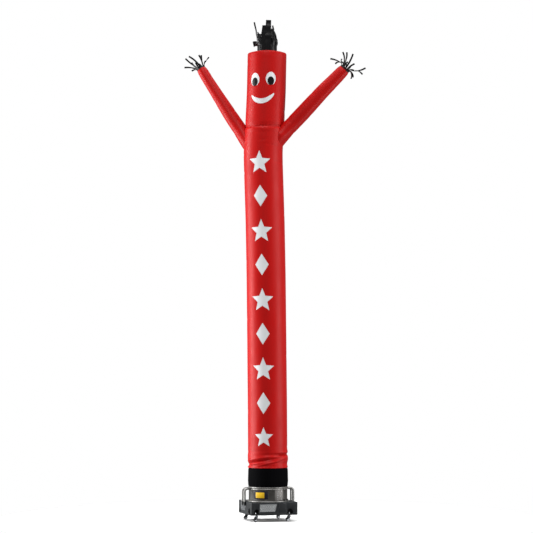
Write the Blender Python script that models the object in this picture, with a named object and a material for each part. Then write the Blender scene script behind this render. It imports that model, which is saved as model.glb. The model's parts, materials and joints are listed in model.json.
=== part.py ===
"""An inflatable air dancer standing on its fan blower.

The world frame is in metres with +Z up and the floor at Z = 0. The blower's base box is square to
X and Y with its front towards -Y. The dancer is sewn from thin cloth tubes; it faces away from the
box's front by FACE_TURN and sways sideways in the plane of its arms. Angles round a tube are measured
from the dancer's face, positive towards its +X side.
"""

from collections import namedtuple
from math import ceil, cos, degrees, exp, floor, pi, radians, sin

import bmesh
import bpy
from mathutils import Matrix, Vector

# ---------------------------------------------------------------- driving dimensions
GAP = 0.0003  # clearance between pieces that touch
SHARP_DEG = 40.0
CUT_GAP = 0.0004  # the same between pieces trimmed to each other's facets
FACE_TURN = 28.0  # degrees between the box's front and the dancer's face

# cloth
CLOTH = 0.0015
PATCH_CLOTH = 0.0012
FRINGE_CLOTH = 0.002
TUBE_R = 0.2286  # an 18 inch tube
TUBE_SIDES = 32
HEM_Z = 0.612
NECK_Z = 4.572
CROWN_Z = 5.446
VENT_R = 0.112  # hole in the head's top panel
CROWN_RISE = 0.022
ARM_HOLE_INSET = 0.006
ARM_SIDES = 16

# blower
BOX_HALF = 0.280
BOX_CORNER_R = 0.025
BOX_BOTTOM = 0.078
BOX_TOP = 0.224
BOX_WALL = 0.004
FLOOR_PLATE = 0.003
DRUM_R = 0.2235
DRUM_BORE_R = 0.2135
FLANGE_R = 0.2455
FLANGE_TOP = 0.2335
BEAD_R = 0.2290
DRUM_TOP = 0.392
COLLAR_R = 0.2165
COLLAR_TOP = 0.500
DRUM_SIDES = 36
HANDLE_R = 0.0125
HANDLE_X = BOX_HALF + HANDLE_R + 0.001
HANDLE_Z = 0.372
HANDLE_FOOT = BOX_TOP - 0.045
HANDLE_BEND_R = 0.034
HANDLE_HALF_SPAN = 0.044
HANDLE_BENDS = 5
HANDLE_SIDES = 10

# casters
CASTER_AT = 0.196  # distance of a stud from the middle lines of the box
WHEEL_R = 0.025
WHEEL_WIDTH = 0.020
WHEEL_SIDES = 16
AXLE_Z = WHEEL_R * cos(pi / WHEEL_SIDES)  # each wheel stands on one of its flats
WHEEL_TRAIL = 0.020
AXLE_R = 0.004
FORK_TOP = 0.0685
FORK_WIDTH = 0.030
FORK_PLATE = 0.0025
STUD_R = 0.005

# ---------------------------------------------------------------- tables
# the tube's middle line: how far it stands to the dancer's +X side at each height
Sway = namedtuple("Sway", "z side")
SWAY = (
    Sway(0.40, -0.002),
    Sway(1.40, -0.007),
    Sway(2.10, -0.014),
    Sway(2.80, -0.023),
    Sway(3.50, -0.036),
    Sway(4.10, -0.054),
    Sway(4.28, -0.058),
    Sway(4.57, -0.040),
    Sway(5.00, -0.020),
    Sway(5.45, -0.011),
)

# creases (depth below zero) and bulges in the tube, each a soft mark running round it
Fold = namedtuple("Fold", "z angle half_angle height depth slope")
FOLDS = (
    Fold(z=0.766, angle=58, half_angle=48, height=0.011, depth=-0.009, slope=0.000),
    Fold(z=0.722, angle=100, half_angle=42, height=0.026, depth=0.010, slope=0.000),
    Fold(z=0.690, angle=15, half_angle=75, height=0.009, depth=-0.007, slope=0.030),
    Fold(z=0.742, angle=-70, half_angle=60, height=0.022, depth=0.004, slope=0.000),
    Fold(z=0.642, angle=-80, half_angle=45, height=0.008, depth=-0.009, slope=0.000),
    Fold(z=0.760, angle=-160, half_angle=55, height=0.012, depth=-0.006, slope=-0.020),
)

Ring = namedtuple("Ring", "z grow")
BODY_RINGS = (
    Ring(HEM_Z, 0.0035),
    Ring(0.626, 0.0010),
    Ring(0.642, 0.0),
    Ring(0.660, 0.0),
    Ring(0.678, 0.0),
    Ring(0.692, 0.0),
    Ring(0.708, 0.0),
    Ring(0.728, 0.0),
    Ring(0.750, 0.0),
    Ring(0.766, 0.0),
    Ring(0.784, 0.0),
    Ring(0.840, 0.0),
    Ring(1.700, 0.0),
    Ring(2.500, 0.0),
    Ring(3.200, 0.0),
    Ring(3.800, 0.0),
    Ring(4.120, 0.0),
    Ring(4.350, 0.0),
    Ring(4.520, 0.0015),
    Ring(4.552, -0.0010),
    Ring(NECK_Z - GAP, -0.0095),
)
HEAD_RINGS = (
    Ring(NECK_Z, -0.0095),
    Ring(4.590, -0.0035),
    Ring(4.625, 0.0),
    Ring(4.850, 0.0),
    Ring(5.150, 0.0),
    Ring(5.400, 0.0),
    Ring(CROWN_Z - 0.012, 0.0),
    Ring(CROWN_Z, -0.0035),
)

# the black cuff, from inside the red hem down over the drum's collar
Turn = namedtuple("Turn", "r z")
CUFF_PROFILE = (
    Turn(0.2225, 0.628),
    Turn(0.2245, 0.608),
    Turn(0.2300, 0.592),
    Turn(0.2312, 0.540),
    Turn(0.2325, 0.470),
    Turn(0.2305, 0.425),
    Turn(0.2270, 0.403),
    Turn(0.2215, 0.3960),
)

# an arm's middle line in the plane of the arms, and its radius there
Station = namedtuple("Station", "side z radius")
ARM_LEFT = (
    Station(-0.160, 4.300, 0.086),
    Station(-0.235, 4.400, 0.086),
    Station(-0.329, 4.549, 0.0845),
    Station(-0.432, 4.702, 0.0815),
    Station(-0.519, 4.837, 0.0755),
    Station(-0.603, 4.969, 0.0700),
    Station(-0.708, 5.134, 0.0645),
    Station(-0.786, 5.261, 0.0600),
    Station(-0.806, 5.295, 0.0500),
    Station(-0.8145, 5.3084, 0.0280),
)
ARM_RIGHT = (
    Station(0.040, 4.345, 0.090),
    Station(0.118, 4.430, 0.090),
    Station(0.196, 4.516, 0.0888),
    Station(0.310, 4.632, 0.0893),
    Station(0.422, 4.745, 0.0885),
    Station(0.537, 4.865, 0.0862),
    Station(0.652, 4.985, 0.0830),
    Station(0.770, 5.099, 0.0775),
    Station(0.884, 5.212, 0.0710),
    Station(0.910, 5.238, 0.0590),
    Station(0.9206, 5.2486, 0.0330),
)

# loose strips of black cloth at the hands: heading in the plane of the arms at root and tip
Strand = namedtuple("Strand", "slot length root_deg tip_deg depth_deg")
FRINGE_LEFT = (
    Strand(slot=1, length=0.165, root_deg=152, tip_deg=126, depth_deg=-22),
    Strand(slot=3, length=0.110, root_deg=185, tip_deg=240, depth_deg=-20),
    Strand(slot=5, length=0.180, root_deg=162, tip_deg=184, depth_deg=8),
    Strand(slot=6, length=0.195, root_deg=146, tip_deg=136, depth_deg=10),
    Strand(slot=8, length=0.190, root_deg=128, tip_deg=148, depth_deg=14),
    Strand(slot=10, length=0.185, root_deg=100, tip_deg=84, depth_deg=8),
    Strand(slot=12, length=0.120, root_deg=66, tip_deg=48, depth_deg=4),
    Strand(slot=14, length=0.175, root_deg=105, tip_deg=122, depth_deg=-12),
)
FRINGE_RIGHT = (
    Strand(slot=2, length=0.180, root_deg=78, tip_deg=100, depth_deg=-10),
    Strand(slot=3, length=0.120, root_deg=118, tip_deg=180, depth_deg=-14),
    Strand(slot=5, length=0.225, root_deg=118, tip_deg=172, depth_deg=6),
    Strand(slot=6, length=0.170, root_deg=88, tip_deg=122, depth_deg=16),
    Strand(slot=8, length=0.200, root_deg=50, tip_deg=66, depth_deg=18),
    Strand(slot=9, length=0.125, root_deg=40, tip_deg=22, depth_deg=16),
    Strand(slot=11, length=0.215, root_deg=-8, tip_deg=22, depth_deg=8),
    Strand(slot=12, length=0.180, root_deg=15, tip_deg=-45, depth_deg=-6),
    Strand(slot=13, length=0.145, root_deg=-40, tip_deg=-100, depth_deg=-12),
)
FRINGE_SLOTS = ARM_SIDES
FRINGE_BAND = 0.004
FRINGE_BAND_HEIGHT = 0.008
STRAND_WIDTH = 0.013
ROOT_SHARE = 0.32  # share of a strand's length in which it turns away from the arm
ROOT_STEPS = 2
STRAND_STEPS = 3

# the hair's strips: the slots of the band each grows from, and how it leans and narrows
Lock = namedtuple("Lock", "slot slots length lean_deg curl_deg twist_deg narrow")
HAIR_SLOTS = 30
HAIR_BAND_HEIGHT = 0.075
HAIR = (
    Lock(slot=28, slots=2, length=0.195, lean_deg=-4, curl_deg=2, twist_deg=10, narrow=0.90),
    Lock(slot=0, slots=3, length=0.265, lean_deg=-1, curl_deg=4, twist_deg=-12, narrow=0.85),
    Lock(slot=4, slots=1, length=0.225, lean_deg=6, curl_deg=-16, twist_deg=-40, narrow=0.75),
    Lock(slot=6, slots=1, length=0.165, lean_deg=14, curl_deg=-40, twist_deg=-70, narrow=0.75),
    Lock(slot=8, slots=1, length=0.115, lean_deg=24, curl_deg=-64, twist_deg=-80, narrow=0.80),
    Lock(slot=11, slots=1, length=0.185, lean_deg=8, curl_deg=-24, twist_deg=60, narrow=0.75),
    Lock(slot=13, slots=2, length=0.220, lean_deg=2, curl_deg=6, twist_deg=20, narrow=0.80),
    Lock(slot=16, slots=2, length=0.180, lean_deg=-3, curl_deg=-6, twist_deg=-15, narrow=0.80),
    Lock(slot=19, slots=1, length=0.155, lean_deg=-10, curl_deg=16, twist_deg=-60, narrow=0.75),
    Lock(slot=21, slots=1, length=0.110, lean_deg=-40, curl_deg=110, twist_deg=50, narrow=0.80),
    Lock(slot=23, slots=1, length=0.225, lean_deg=2, curl_deg=-32, twist_deg=75, narrow=0.75),
    Lock(slot=26, slots=1, length=0.150, lean_deg=-10, curl_deg=8, twist_deg=35, narrow=0.60),
)
HAIR_STEPS = 4

# white patches down the front: shape, height of the middle, half width and half height
Motif = namedtuple("Motif", "name shape z half_width half_height")
MOTIFS = (
    Motif("star_1", "star", 4.160, 0.128, 0.128),
    Motif("lozenge_1", "lozenge", 3.760, 0.080, 0.125),
    Motif("star_2", "star", 3.360, 0.128, 0.128),
    Motif("lozenge_2", "lozenge", 2.960, 0.080, 0.125),
    Motif("star_3", "star", 2.560, 0.128, 0.128),
    Motif("lozenge_3", "lozenge", 2.160, 0.080, 0.125),
    Motif("star_4", "star", 1.760, 0.128, 0.128),
    Motif("lozenge_4", "lozenge", 1.360, 0.080, 0.125),
    Motif("star_5", "star", 0.975, 0.110, 0.110),
)
EYE_ANGLE = 24.6
EYE_Z = 5.119
EYE_HALF = (0.062, 0.079)
PUPIL_HALF = (0.040, 0.050)
PUPIL_DROP = 0.028
MOUTH_Z = 4.938  # height of the mouth's two ends
MOUTH_HALF_WIDTH = 0.141
MOUTH_HALF_HEIGHT = 0.036
MOUTH_SAG = 0.074

# base box: a window and two caster arches in each side, seen from outside that side
WINDOW = (-0.178, 0.006, 0.028)  # left edge, right edge at the sill, right edge at the head
WINDOW_SILL = 0.120
WINDOW_HEAD = 0.207
ARCH_SILL = BOX_BOTTOM + 0.012
ARCH_SPRING = 0.122
Arch = namedtuple("Arch", "middle half_width")
ARCHES = (Arch(-0.217, 0.031), Arch(0.183, 0.036))
MESH_PITCH = 0.038
MESH_STRAND = 0.006
MESH_PLATE = 0.002
MESH_MARGIN = 0.007
COVER_PANEL = (0.036, 0.058, 0.136)  # left edge at the sill and at the head, right edge
COVER_THICK = 0.003

# drum: flanges, beads and collar as one turned wall, from the bottom up and back down inside
DRUM_PROFILE = (
    Turn(FLANGE_R, BOX_TOP + GAP),
    Turn(FLANGE_R, FLANGE_TOP),
    Turn(DRUM_R, FLANGE_TOP),
    Turn(DRUM_R, 0.3640),
    Turn(BEAD_R, 0.3655),
    Turn(BEAD_R, 0.3705),
    Turn(DRUM_R, 0.3720),
    Turn(BEAD_R, 0.3820),
    Turn(BEAD_R, DRUM_TOP),
    Turn(COLLAR_R, DRUM_TOP + 0.0010),
    Turn(COLLAR_R, COLLAR_TOP),
    Turn(DRUM_BORE_R, COLLAR_TOP),
    Turn(DRUM_BORE_R, BOX_TOP + GAP),
)
# curved plates on the drum's wall: angle of the middle from the box's front, arc and height span
PlateSpec = namedtuple("PlateSpec", "middle_deg half_deg low high thick stand_off")
LABEL_PLATE = PlateSpec(-39.3, 23.0, 0.256, 0.352, 0.0015, GAP)
LABEL_BLOCK = PlateSpec(-41.0, 14.0, 0.270, 0.334, 0.0010, 0.0015 + 2 * GAP)
SEAM_PLATE = PlateSpec(19.7, 15.5, 0.240, 0.360, 0.0020, GAP)
KNOB_ANGLES = (37.0, 57.0)
KNOB_R = 0.008
KNOB_HEIGHT = 0.020

# the way each caster trails at rest, in degrees from +X
CasterSpec = namedtuple("CasterSpec", "name x y trail_deg")
CASTERS = (
    CasterSpec("front_left", -1, -1, 212),
    CasterSpec("front_right", 1, -1, 196),
    CasterSpec("back_left", -1, 1, 188),
    CasterSpec("back_right", 1, 1, 204),
)

Finish = namedtuple("Finish", "colour roughness metallic")
FINISHES = {
    "red_cloth": Finish((0.62, 0.013, 0.015), 0.45, 0.0),
    "white_cloth": Finish((0.80, 0.80, 0.80), 0.55, 0.0),
    "black_cloth": Finish((0.008, 0.008, 0.010), 0.60, 0.0),
    "drum_paint": Finish((0.10, 0.095, 0.09), 0.35, 0.3),
    "box_plastic": Finish((0.030, 0.030, 0.031), 0.55, 0.0),
    "mesh_steel": Finish((0.35, 0.35, 0.35), 0.40, 1.0),
    "handle_steel": Finish((0.55, 0.55, 0.53), 0.35, 1.0),
    "plated_steel": Finish((0.75, 0.75, 0.77), 0.20, 1.0),
    "wheel_rubber": Finish((0.012, 0.012, 0.012), 0.60, 0.0),
    "label_dark": Finish((0.010, 0.010, 0.035), 0.30, 0.0),
    "label_yellow": Finish((0.85, 0.55, 0.01), 0.35, 0.0),
    "knob_plastic": Finish((0.010, 0.010, 0.010), 0.50, 0.0),
}


# ---------------------------------------------------------------- Blender helpers
def clear_scene():
    for item in list(bpy.data.objects):
        bpy.data.objects.remove(item, do_unlink=True)


def make_finish(name):
    """The Principled material of that name, made once."""
    found = bpy.data.materials.get(name)
    if found:
        return found
    finish = FINISHES[name]
    material = bpy.data.materials.new(name)
    material.use_nodes = True
    shader = material.node_tree.nodes["Principled BSDF"]
    shader.inputs["Base Color"].default_value = (*finish.colour, 1.0)
    shader.inputs["Roughness"].default_value = finish.roughness
    shader.inputs["Metallic"].default_value = finish.metallic
    material.diffuse_color = (*finish.colour, 1.0)
    return material


def make_empty(name, parent=None, location=(0.0, 0.0, 0.0), turn_deg=0.0):
    empty = bpy.data.objects.new(name, None)
    empty.location = location
    empty.rotation_euler = (0.0, 0.0, radians(turn_deg))
    empty.parent = parent
    bpy.context.collection.objects.link(empty)
    return empty


def make_object(name, bm, finish, parent):
    """Turns a bmesh into a named object with its finish."""
    bmesh.ops.recalc_face_normals(bm, faces=bm.faces)
    mesh = bpy.data.meshes.new(name)
    bm.to_mesh(mesh)
    bm.free()
    mesh.shade_smooth()
    mesh.set_sharp_from_angle(angle=radians(SHARP_DEG))
    item = bpy.data.objects.new(name, mesh)
    if finish:
        item.data.materials.append(make_finish(finish))
    item.parent = parent
    bpy.context.collection.objects.link(item)
    return item


def make_cutter(name, bm, parent):
    """A closed shape that is only used to cut others."""
    item = make_object(name, bm, None, parent)
    item.hide_render = True
    item.display_type = "WIRE"
    return item


def cut(item, cutter, operation="DIFFERENCE"):
    boolean = item.modifiers.new(cutter.name, "BOOLEAN")
    boolean.operation = operation
    boolean.object = cutter
    boolean.solver = "EXACT"


def thicken(item, thickness, inward=True):
    """Gives an open sheet its thickness, behind or in front of its drawn face."""
    solid = item.modifiers.new("thickness", "SOLIDIFY")
    solid.thickness = thickness
    solid.offset = -1.0 if inward else 1.0
    solid.use_even_offset = True


def loft(bm, rings, ends="open"):
    """Joins rings of points, each a closed loop, into a skin whose ends are open, capped or joined up."""
    loops = [[bm.verts.new(point) for point in ring] for ring in rings]
    if ends == "capped":
        bm.faces.new(reversed(loops[0]))
        bm.faces.new(loops[-1])
    if ends == "joined":
        loops.append(loops[0])
    for lower, upper in zip(loops, loops[1:]):
        for i, start in enumerate(lower):
            j = (i + 1) % len(lower)
            bm.faces.new((start, lower[j], upper[j], upper[i]))


def turned(bm, profile, sides, ends="capped", centre=(0.0, 0.0)):
    """Turns a profile of radii and heights about the vertical through centre."""
    rings = [
        [
            Vector((
                centre[0] + turn.r * cos(2 * pi * i / sides),
                centre[1] + turn.r * sin(2 * pi * i / sides),
                turn.z,
            ))
            for i in range(sides)
        ]
        for turn in profile
    ]
    loft(bm, rings, ends)


def prism(bm, outline, lift):
    """Extrudes a flat outline of points by the vector lift into a closed solid."""
    base = bm.faces.new([bm.verts.new(point) for point in outline])
    raised = bmesh.ops.extrude_face_region(bm, geom=[base])["geom"]
    verts = [part for part in raised if isinstance(part, bmesh.types.BMVert)]
    bmesh.ops.translate(bm, verts=verts, vec=lift)
    bmesh.ops.recalc_face_normals(bm, faces=bm.faces)


# ---------------------------------------------------------------- the dancer's tube
def sway_at(z):
    """Sideways place of the tube's middle at a height, straight between the table's rows."""
    if z <= SWAY[0].z:
        return SWAY[0].side
    for low, high in zip(SWAY, SWAY[1:]):
        if z <= high.z:
            share = (z - low.z) / (high.z - low.z)
            return low.side + (high.side - low.side) * share
    return SWAY[-1].side


def fold_depth(angle_deg, z):
    """Sum of the creases and bulges at a place on the tube."""
    total = 0.0
    for fold in FOLDS:
        away = (angle_deg - fold.angle + 180.0) % 360.0 - 180.0
        middle = fold.z + fold.slope * away / 90.0
        across = exp(-0.5 * ((z - middle) / fold.height) ** 2)
        total += fold.depth * across * exp(-((away / fold.half_angle) ** 2))
    return total


def ring_point(ring, side_index, extra=0.0):
    """The corner of the many-sided tube with this number on this ring."""
    angle = 2 * pi * side_index / TUBE_SIDES
    radius = TUBE_R + ring.grow + fold_depth(degrees(angle), ring.z) + extra
    return Vector((sway_at(ring.z) + radius * sin(angle), -radius * cos(angle), ring.z))


def tube_rings(rings, extra=0.0):
    return [[ring_point(ring, i, extra) for i in range(TUBE_SIDES)] for ring in rings]


def on_tube(rings, angle, z, stand_off):
    """A place on the tube's flat facets, stand_off outside them."""
    turn = angle * TUBE_SIDES / (2 * pi)
    first = floor(turn)
    share = turn - first
    low, high = next((a, b) for a, b in zip(rings, rings[1:]) if z <= b.z)
    rise = (z - low.z) / (high.z - low.z)
    near = ring_point(low, first).lerp(ring_point(low, first + 1), share)
    far = ring_point(high, first).lerp(ring_point(high, first + 1), share)
    return near.lerp(far, rise) + Vector((sin(angle), -cos(angle), 0.0)) * stand_off


def make_tube(name, rings, parent):
    bm = bmesh.new()
    loft(bm, tube_rings(rings))
    item = make_object(name, bm, "red_cloth", parent)
    thicken(item, CLOTH)
    return item


def arm_rings(stations, shrink=0.0):
    """Rings square to an arm's middle line, with their first corner at the back."""
    rings = []
    for k, station in enumerate(stations):
        before = stations[max(k - 1, 0)]
        after = stations[min(k + 1, len(stations) - 1)]
        along = Vector((after.side - before.side, 0.0, after.z - before.z)).normalized()
        across = Vector((along.z, 0.0, -along.x))
        middle = Vector((station.side, 0.0, station.z))
        rings.append([
            middle
            + (station.radius - shrink)
            * (across * sin(2 * pi * i / ARM_SIDES) + Vector((0.0, cos(2 * pi * i / ARM_SIDES), 0.0)))
            for i in range(ARM_SIDES)
        ])
    return rings


def make_arm(name, stations, tube_core, parent):
    """An arm tube, trimmed where it meets the body and the head."""
    bm = bmesh.new()
    loft(bm, arm_rings(stations))
    item = make_object(name, bm, "red_cloth", parent)
    thicken(item, CLOTH)
    cut(item, tube_core)


def make_arm_bore(name, stations, parent):
    """The passage from the body into an arm."""
    bm = bmesh.new()
    loft(bm, arm_rings(stations[:4], shrink=ARM_HOLE_INSET), ends="capped")
    return make_cutter(name, bm, parent)


def make_body(dancer):
    body = make_tube("body_tube", BODY_RINGS, dancer)
    bm = bmesh.new()
    loft(bm, tube_rings(BODY_RINGS + HEAD_RINGS, extra=CUT_GAP), ends="capped")
    core = make_cutter("tube_core", bm, dancer)
    for side, stations in (("left", ARM_LEFT), ("right", ARM_RIGHT)):
        make_arm(f"arm_{side}", stations, core, dancer)
        cut(body, make_arm_bore(f"arm_bore_{side}", stations, dancer))
    make_tube("head_tube", HEAD_RINGS, dancer)


def make_crown(dancer):
    """The head's round top panel with its air vent, gently domed."""
    base = CROWN_Z + GAP + CLOTH
    profile = (
        Turn(TUBE_R - 0.0060, base),
        Turn((TUBE_R + VENT_R) / 2, base + 0.7 * CROWN_RISE),
        Turn(VENT_R, base + CROWN_RISE),
    )
    bm = bmesh.new()
    turned(bm, profile, TUBE_SIDES, ends="open", centre=(sway_at(CROWN_Z), 0.0))
    item = make_object("crown_panel", bm, "red_cloth", dancer)
    thicken(item, CLOTH)


# ---------------------------------------------------------------- fringes
def draw_out(bm, faces, turn, shrink, move):
    """Draws faces out by one step, turned and scaled about their own middle; gives the new faces."""
    drawn = bmesh.ops.extrude_face_region(bm, geom=faces)["geom"]
    bmesh.ops.delete(bm, geom=faces, context="FACES")
    verts = [part for part in drawn if isinstance(part, bmesh.types.BMVert)]
    middle = sum((vert.co for vert in verts), Vector()) / len(verts)
    for vert in verts:
        vert.co = middle + (turn @ (vert.co - middle)) * shrink + move
    return [part for part in drawn if isinstance(part, bmesh.types.BMFace)]


def grow_lock(bm, faces, lock):
    """Draws a strip of hair out of the band's end faces along an arc, twisting and narrowing."""
    sideways = Vector((0.0, 1.0, 0.0))
    heading = Matrix.Rotation(radians(lock.lean_deg), 3, sideways) @ Vector((0.0, 0.0, 1.0))
    bend = Matrix.Rotation(radians(lock.curl_deg / HAIR_STEPS), 3, sideways)
    for _ in range(HAIR_STEPS):
        heading = bend @ heading
        twist = Matrix.Rotation(radians(lock.twist_deg / HAIR_STEPS), 3, heading)
        shrink = lock.narrow ** (1.0 / HAIR_STEPS)
        faces = draw_out(bm, faces, twist @ bend, shrink, heading * (lock.length / HAIR_STEPS))


def band_with_slots(bm, middle, along, start, radius, wall, height, slots):
    """A short ring wall and its end faces, one to a slot, facing along."""
    side = along.cross(start)
    rings = []
    for depth, size in ((0.0, radius - wall), (0.0, radius), (height, radius), (height, radius - wall)):
        rings.append([
            middle
            + along * depth
            + size * (start * cos(2 * pi * i / slots) + side * sin(2 * pi * i / slots))
            for i in range(slots)
        ])
    loops = [[bm.verts.new(point) for point in ring] for ring in rings]
    ends = []
    for k, lower in enumerate(loops):
        upper = loops[(k + 1) % len(loops)]
        for i in range(slots):
            j = (i + 1) % slots
            face = bm.faces.new((lower[i], lower[j], upper[j], upper[i]))
            if k == 2:
                ends.append(face)
    bmesh.ops.recalc_face_normals(bm, faces=bm.faces)
    return ends


def grow_strand(bm, face, along, strand):
    """Draws a strand out of a band's end face: a root that turns its way, then an even bend."""
    out_of_plane = Vector((0.0, -sin(radians(strand.depth_deg)), 0.0))
    first = Vector((cos(radians(strand.root_deg)), 0.0, sin(radians(strand.root_deg)))) + out_of_plane
    root_turn = Matrix.Rotation(along.angle(first) / ROOT_STEPS, 3, along.cross(first).normalized())
    bend = radians(strand.root_deg - strand.tip_deg) / STRAND_STEPS
    bend_turn = Matrix.Rotation(bend, 3, Vector((0.0, 1.0, 0.0)))
    span = max(edge.calc_length() for edge in face.edges)
    shrink = (STRAND_WIDTH / span) ** (1.0 / ROOT_STEPS)
    faces, heading = [face], along
    for _ in range(ROOT_STEPS):
        heading = root_turn @ heading
        move = heading * (strand.length * ROOT_SHARE / ROOT_STEPS)
        faces = draw_out(bm, faces, root_turn, shrink, move)
    for _ in range(STRAND_STEPS):
        heading = bend_turn @ heading
        move = heading * (strand.length * (1.0 - ROOT_SHARE) / STRAND_STEPS)
        faces = draw_out(bm, faces, bend_turn, 1.0, move)


def make_hand_fringe(name, stations, strands, parent):
    """The strips at a hand, grown from a narrow band sewn round the arm's rounded end."""
    shoulder, tip = stations[-2], stations[-1]
    along = Vector((tip.side - shoulder.side, 0.0, tip.z - shoulder.z)).normalized()
    middle = Vector((shoulder.side, 0.0, shoulder.z))
    radius = shoulder.radius + CUT_GAP + FRINGE_BAND
    bm = bmesh.new()
    ends = band_with_slots(
        bm, middle, along, Vector((0.0, 1.0, 0.0)), radius, FRINGE_BAND, FRINGE_BAND_HEIGHT, FRINGE_SLOTS
    )
    for strand in strands:
        grow_strand(bm, ends[strand.slot], along, strand)
    make_object(name, bm, "black_cloth", parent)


def make_hair(dancer):
    """The black band round the vent and the strips that stand up from it."""
    bm = bmesh.new()
    middle = Vector((sway_at(CROWN_Z), 0.0, CROWN_Z + CLOTH + CROWN_RISE + 2 * GAP))
    up = Vector((0.0, 0.0, 1.0))
    front = Vector((0.0, -1.0, 0.0))
    ends = band_with_slots(
        bm, middle, up, front, VENT_R + 2 * FRINGE_CLOTH, FRINGE_CLOTH, HAIR_BAND_HEIGHT, HAIR_SLOTS
    )
    for lock in HAIR:
        faces = [ends[(lock.slot + i) % HAIR_SLOTS] for i in range(lock.slots)]
        grow_lock(bm, faces, lock)
    make_object("hair_fringe", bm, "black_cloth", dancer)


# ---------------------------------------------------------------- patches on the tube
def star_outline(half_width, half_height):
    inner = 0.45
    return [
        (
            (1.0 if k % 2 == 0 else inner) * half_width * sin(pi * k / 5),
            (1.0 if k % 2 == 0 else inner) * half_height * cos(pi * k / 5),
        )
        for k in range(10)
    ]


def lozenge_outline(half_width, half_height):
    return [(0.0, half_height), (half_width, 0.0), (0.0, -half_height), (-half_width, 0.0)]


def oval_outline(half_width, half_height, points=20):
    return [
        (half_width * sin(2 * pi * k / points), half_height * cos(2 * pi * k / points))
        for k in range(points)
    ]


def smile_outline(half_width, half_height, sag, points=20):
    """A sagging band that thins to round ends, anticlockwise from the right end."""
    outline = []
    for k in range(points):
        share = cos(2 * pi * k / points)
        reach = half_height * max(0.0, 1.0 - share**4) ** 0.4
        side = 1.0 if k < points / 2 else -1.0
        outline.append((half_width * share, side * reach - sag * (1.0 - share * share)))
    return outline


def make_patch(name, outline, rings, middle_deg, z, finish, layer, parent):
    """Lays a flat outline on the tube's facets, in the given layer of cloth."""
    bm = bmesh.new()
    bm.faces.new([bm.verts.new((x, 0.0, y + z)) for x, y in outline])
    facet = 2 * pi / TUBE_SIDES
    reach = max(abs(x) for x, _ in outline) / TUBE_R + facet
    middle = radians(middle_deg)
    cuts = [
        (Vector(((k * facet - middle) * TUBE_R, 0.0, 0.0)), Vector((1.0, 0.0, 0.0)))
        for k in range(ceil((middle - reach) / facet), floor((middle + reach) / facet) + 1)
    ]
    cuts += [(Vector((0.0, 0.0, ring.z)), Vector((0.0, 0.0, 1.0))) for ring in rings]
    for place, normal in cuts:
        geometry = list(bm.verts) + list(bm.edges) + list(bm.faces)
        bmesh.ops.bisect_plane(bm, geom=geometry, plane_co=place, plane_no=normal, dist=1e-6)
    stand_off = GAP + layer * (PATCH_CLOTH + GAP)
    for vert in bm.verts:
        vert.co = on_tube(rings, middle + vert.co.x / TUBE_R, vert.co.z, stand_off)
    item = make_object(name, bm, finish, parent)
    outward = Vector((sin(middle), -cos(middle), 0.0))
    if item.data.polygons[0].normal.dot(outward) < 0:
        item.data.flip_normals()
    thicken(item, PATCH_CLOTH, inward=False)
    return item


def make_motifs(dancer):
    outlines = {"star": star_outline, "lozenge": lozenge_outline}
    for motif in MOTIFS:
        outline = outlines[motif.shape](motif.half_width, motif.half_height)
        make_patch(motif.name, outline, BODY_RINGS, 0.0, motif.z, "white_cloth", 0, dancer)


def make_face(dancer):
    for side, sign in (("left", -1), ("right", 1)):
        angle = sign * EYE_ANGLE
        eye = oval_outline(*EYE_HALF)
        make_patch(f"eye_{side}", eye, HEAD_RINGS, angle, EYE_Z, "white_cloth", 0, dancer)
        pupil = oval_outline(*PUPIL_HALF, points=16)
        low = EYE_Z - PUPIL_DROP
        make_patch(f"pupil_{side}", pupil, HEAD_RINGS, angle, low, "black_cloth", 1, dancer)
    smile = smile_outline(MOUTH_HALF_WIDTH, MOUTH_HALF_HEIGHT, MOUTH_SAG)
    make_patch("mouth", smile, HEAD_RINGS, 0.0, MOUTH_Z, "white_cloth", 0, dancer)


def make_cuff(blower):
    """The black cuff that straps the dancer to the drum's collar."""
    bm = bmesh.new()
    turned(bm, CUFF_PROFILE, TUBE_SIDES, ends="open")
    item = make_object("cuff", bm, "black_cloth", blower)
    thicken(item, CLOTH)


# ---------------------------------------------------------------- the blower
def rounded_square(half, corner_r, z, steps=4):
    """A square outline with round corners, anticlockwise from above."""
    points = []
    for quarter in range(4):
        middle = radians(45 + 90 * quarter)
        x = (half - corner_r) * (1 if cos(middle) > 0 else -1)
        y = (half - corner_r) * (1 if sin(middle) > 0 else -1)
        for step in range(steps + 1):
            angle = middle + radians(-45 + 90 * step / steps)
            points.append(Vector((x + corner_r * cos(angle), y + corner_r * sin(angle), z)))
    return points


def side_shape(bm, outline, side, depth, thick):
    """A prism whose outline of (along, height) points lies on one side of the box, seen from outside.

    Side 0 is the front; the others follow anticlockwise seen from above. The prism runs outward
    from depth behind the wall's outer face.
    """
    turn = Matrix.Rotation(side * pi / 2, 3, "Z")
    inner = -(BOX_HALF - depth)
    base = [turn @ Vector((along, inner, z)) for along, z in outline]
    prism(bm, base, turn @ Vector((0.0, -thick, 0.0)))


def window_outline(grow=0.0):
    left, right_low, right_high = WINDOW
    return [
        (left - grow, WINDOW_SILL - grow),
        (right_low + grow, WINDOW_SILL - grow),
        (right_high + grow, WINDOW_HEAD + grow),
        (left - grow, WINDOW_HEAD + grow),
    ]


def arch_outline(arch, steps=6):
    reach = arch.half_width
    points = [(arch.middle - reach, ARCH_SILL), (arch.middle + reach, ARCH_SILL)]
    for step in range(steps + 1):
        angle = pi * step / steps
        points.append((arch.middle + reach * cos(angle), ARCH_SPRING + reach * sin(angle)))
    return points


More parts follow.
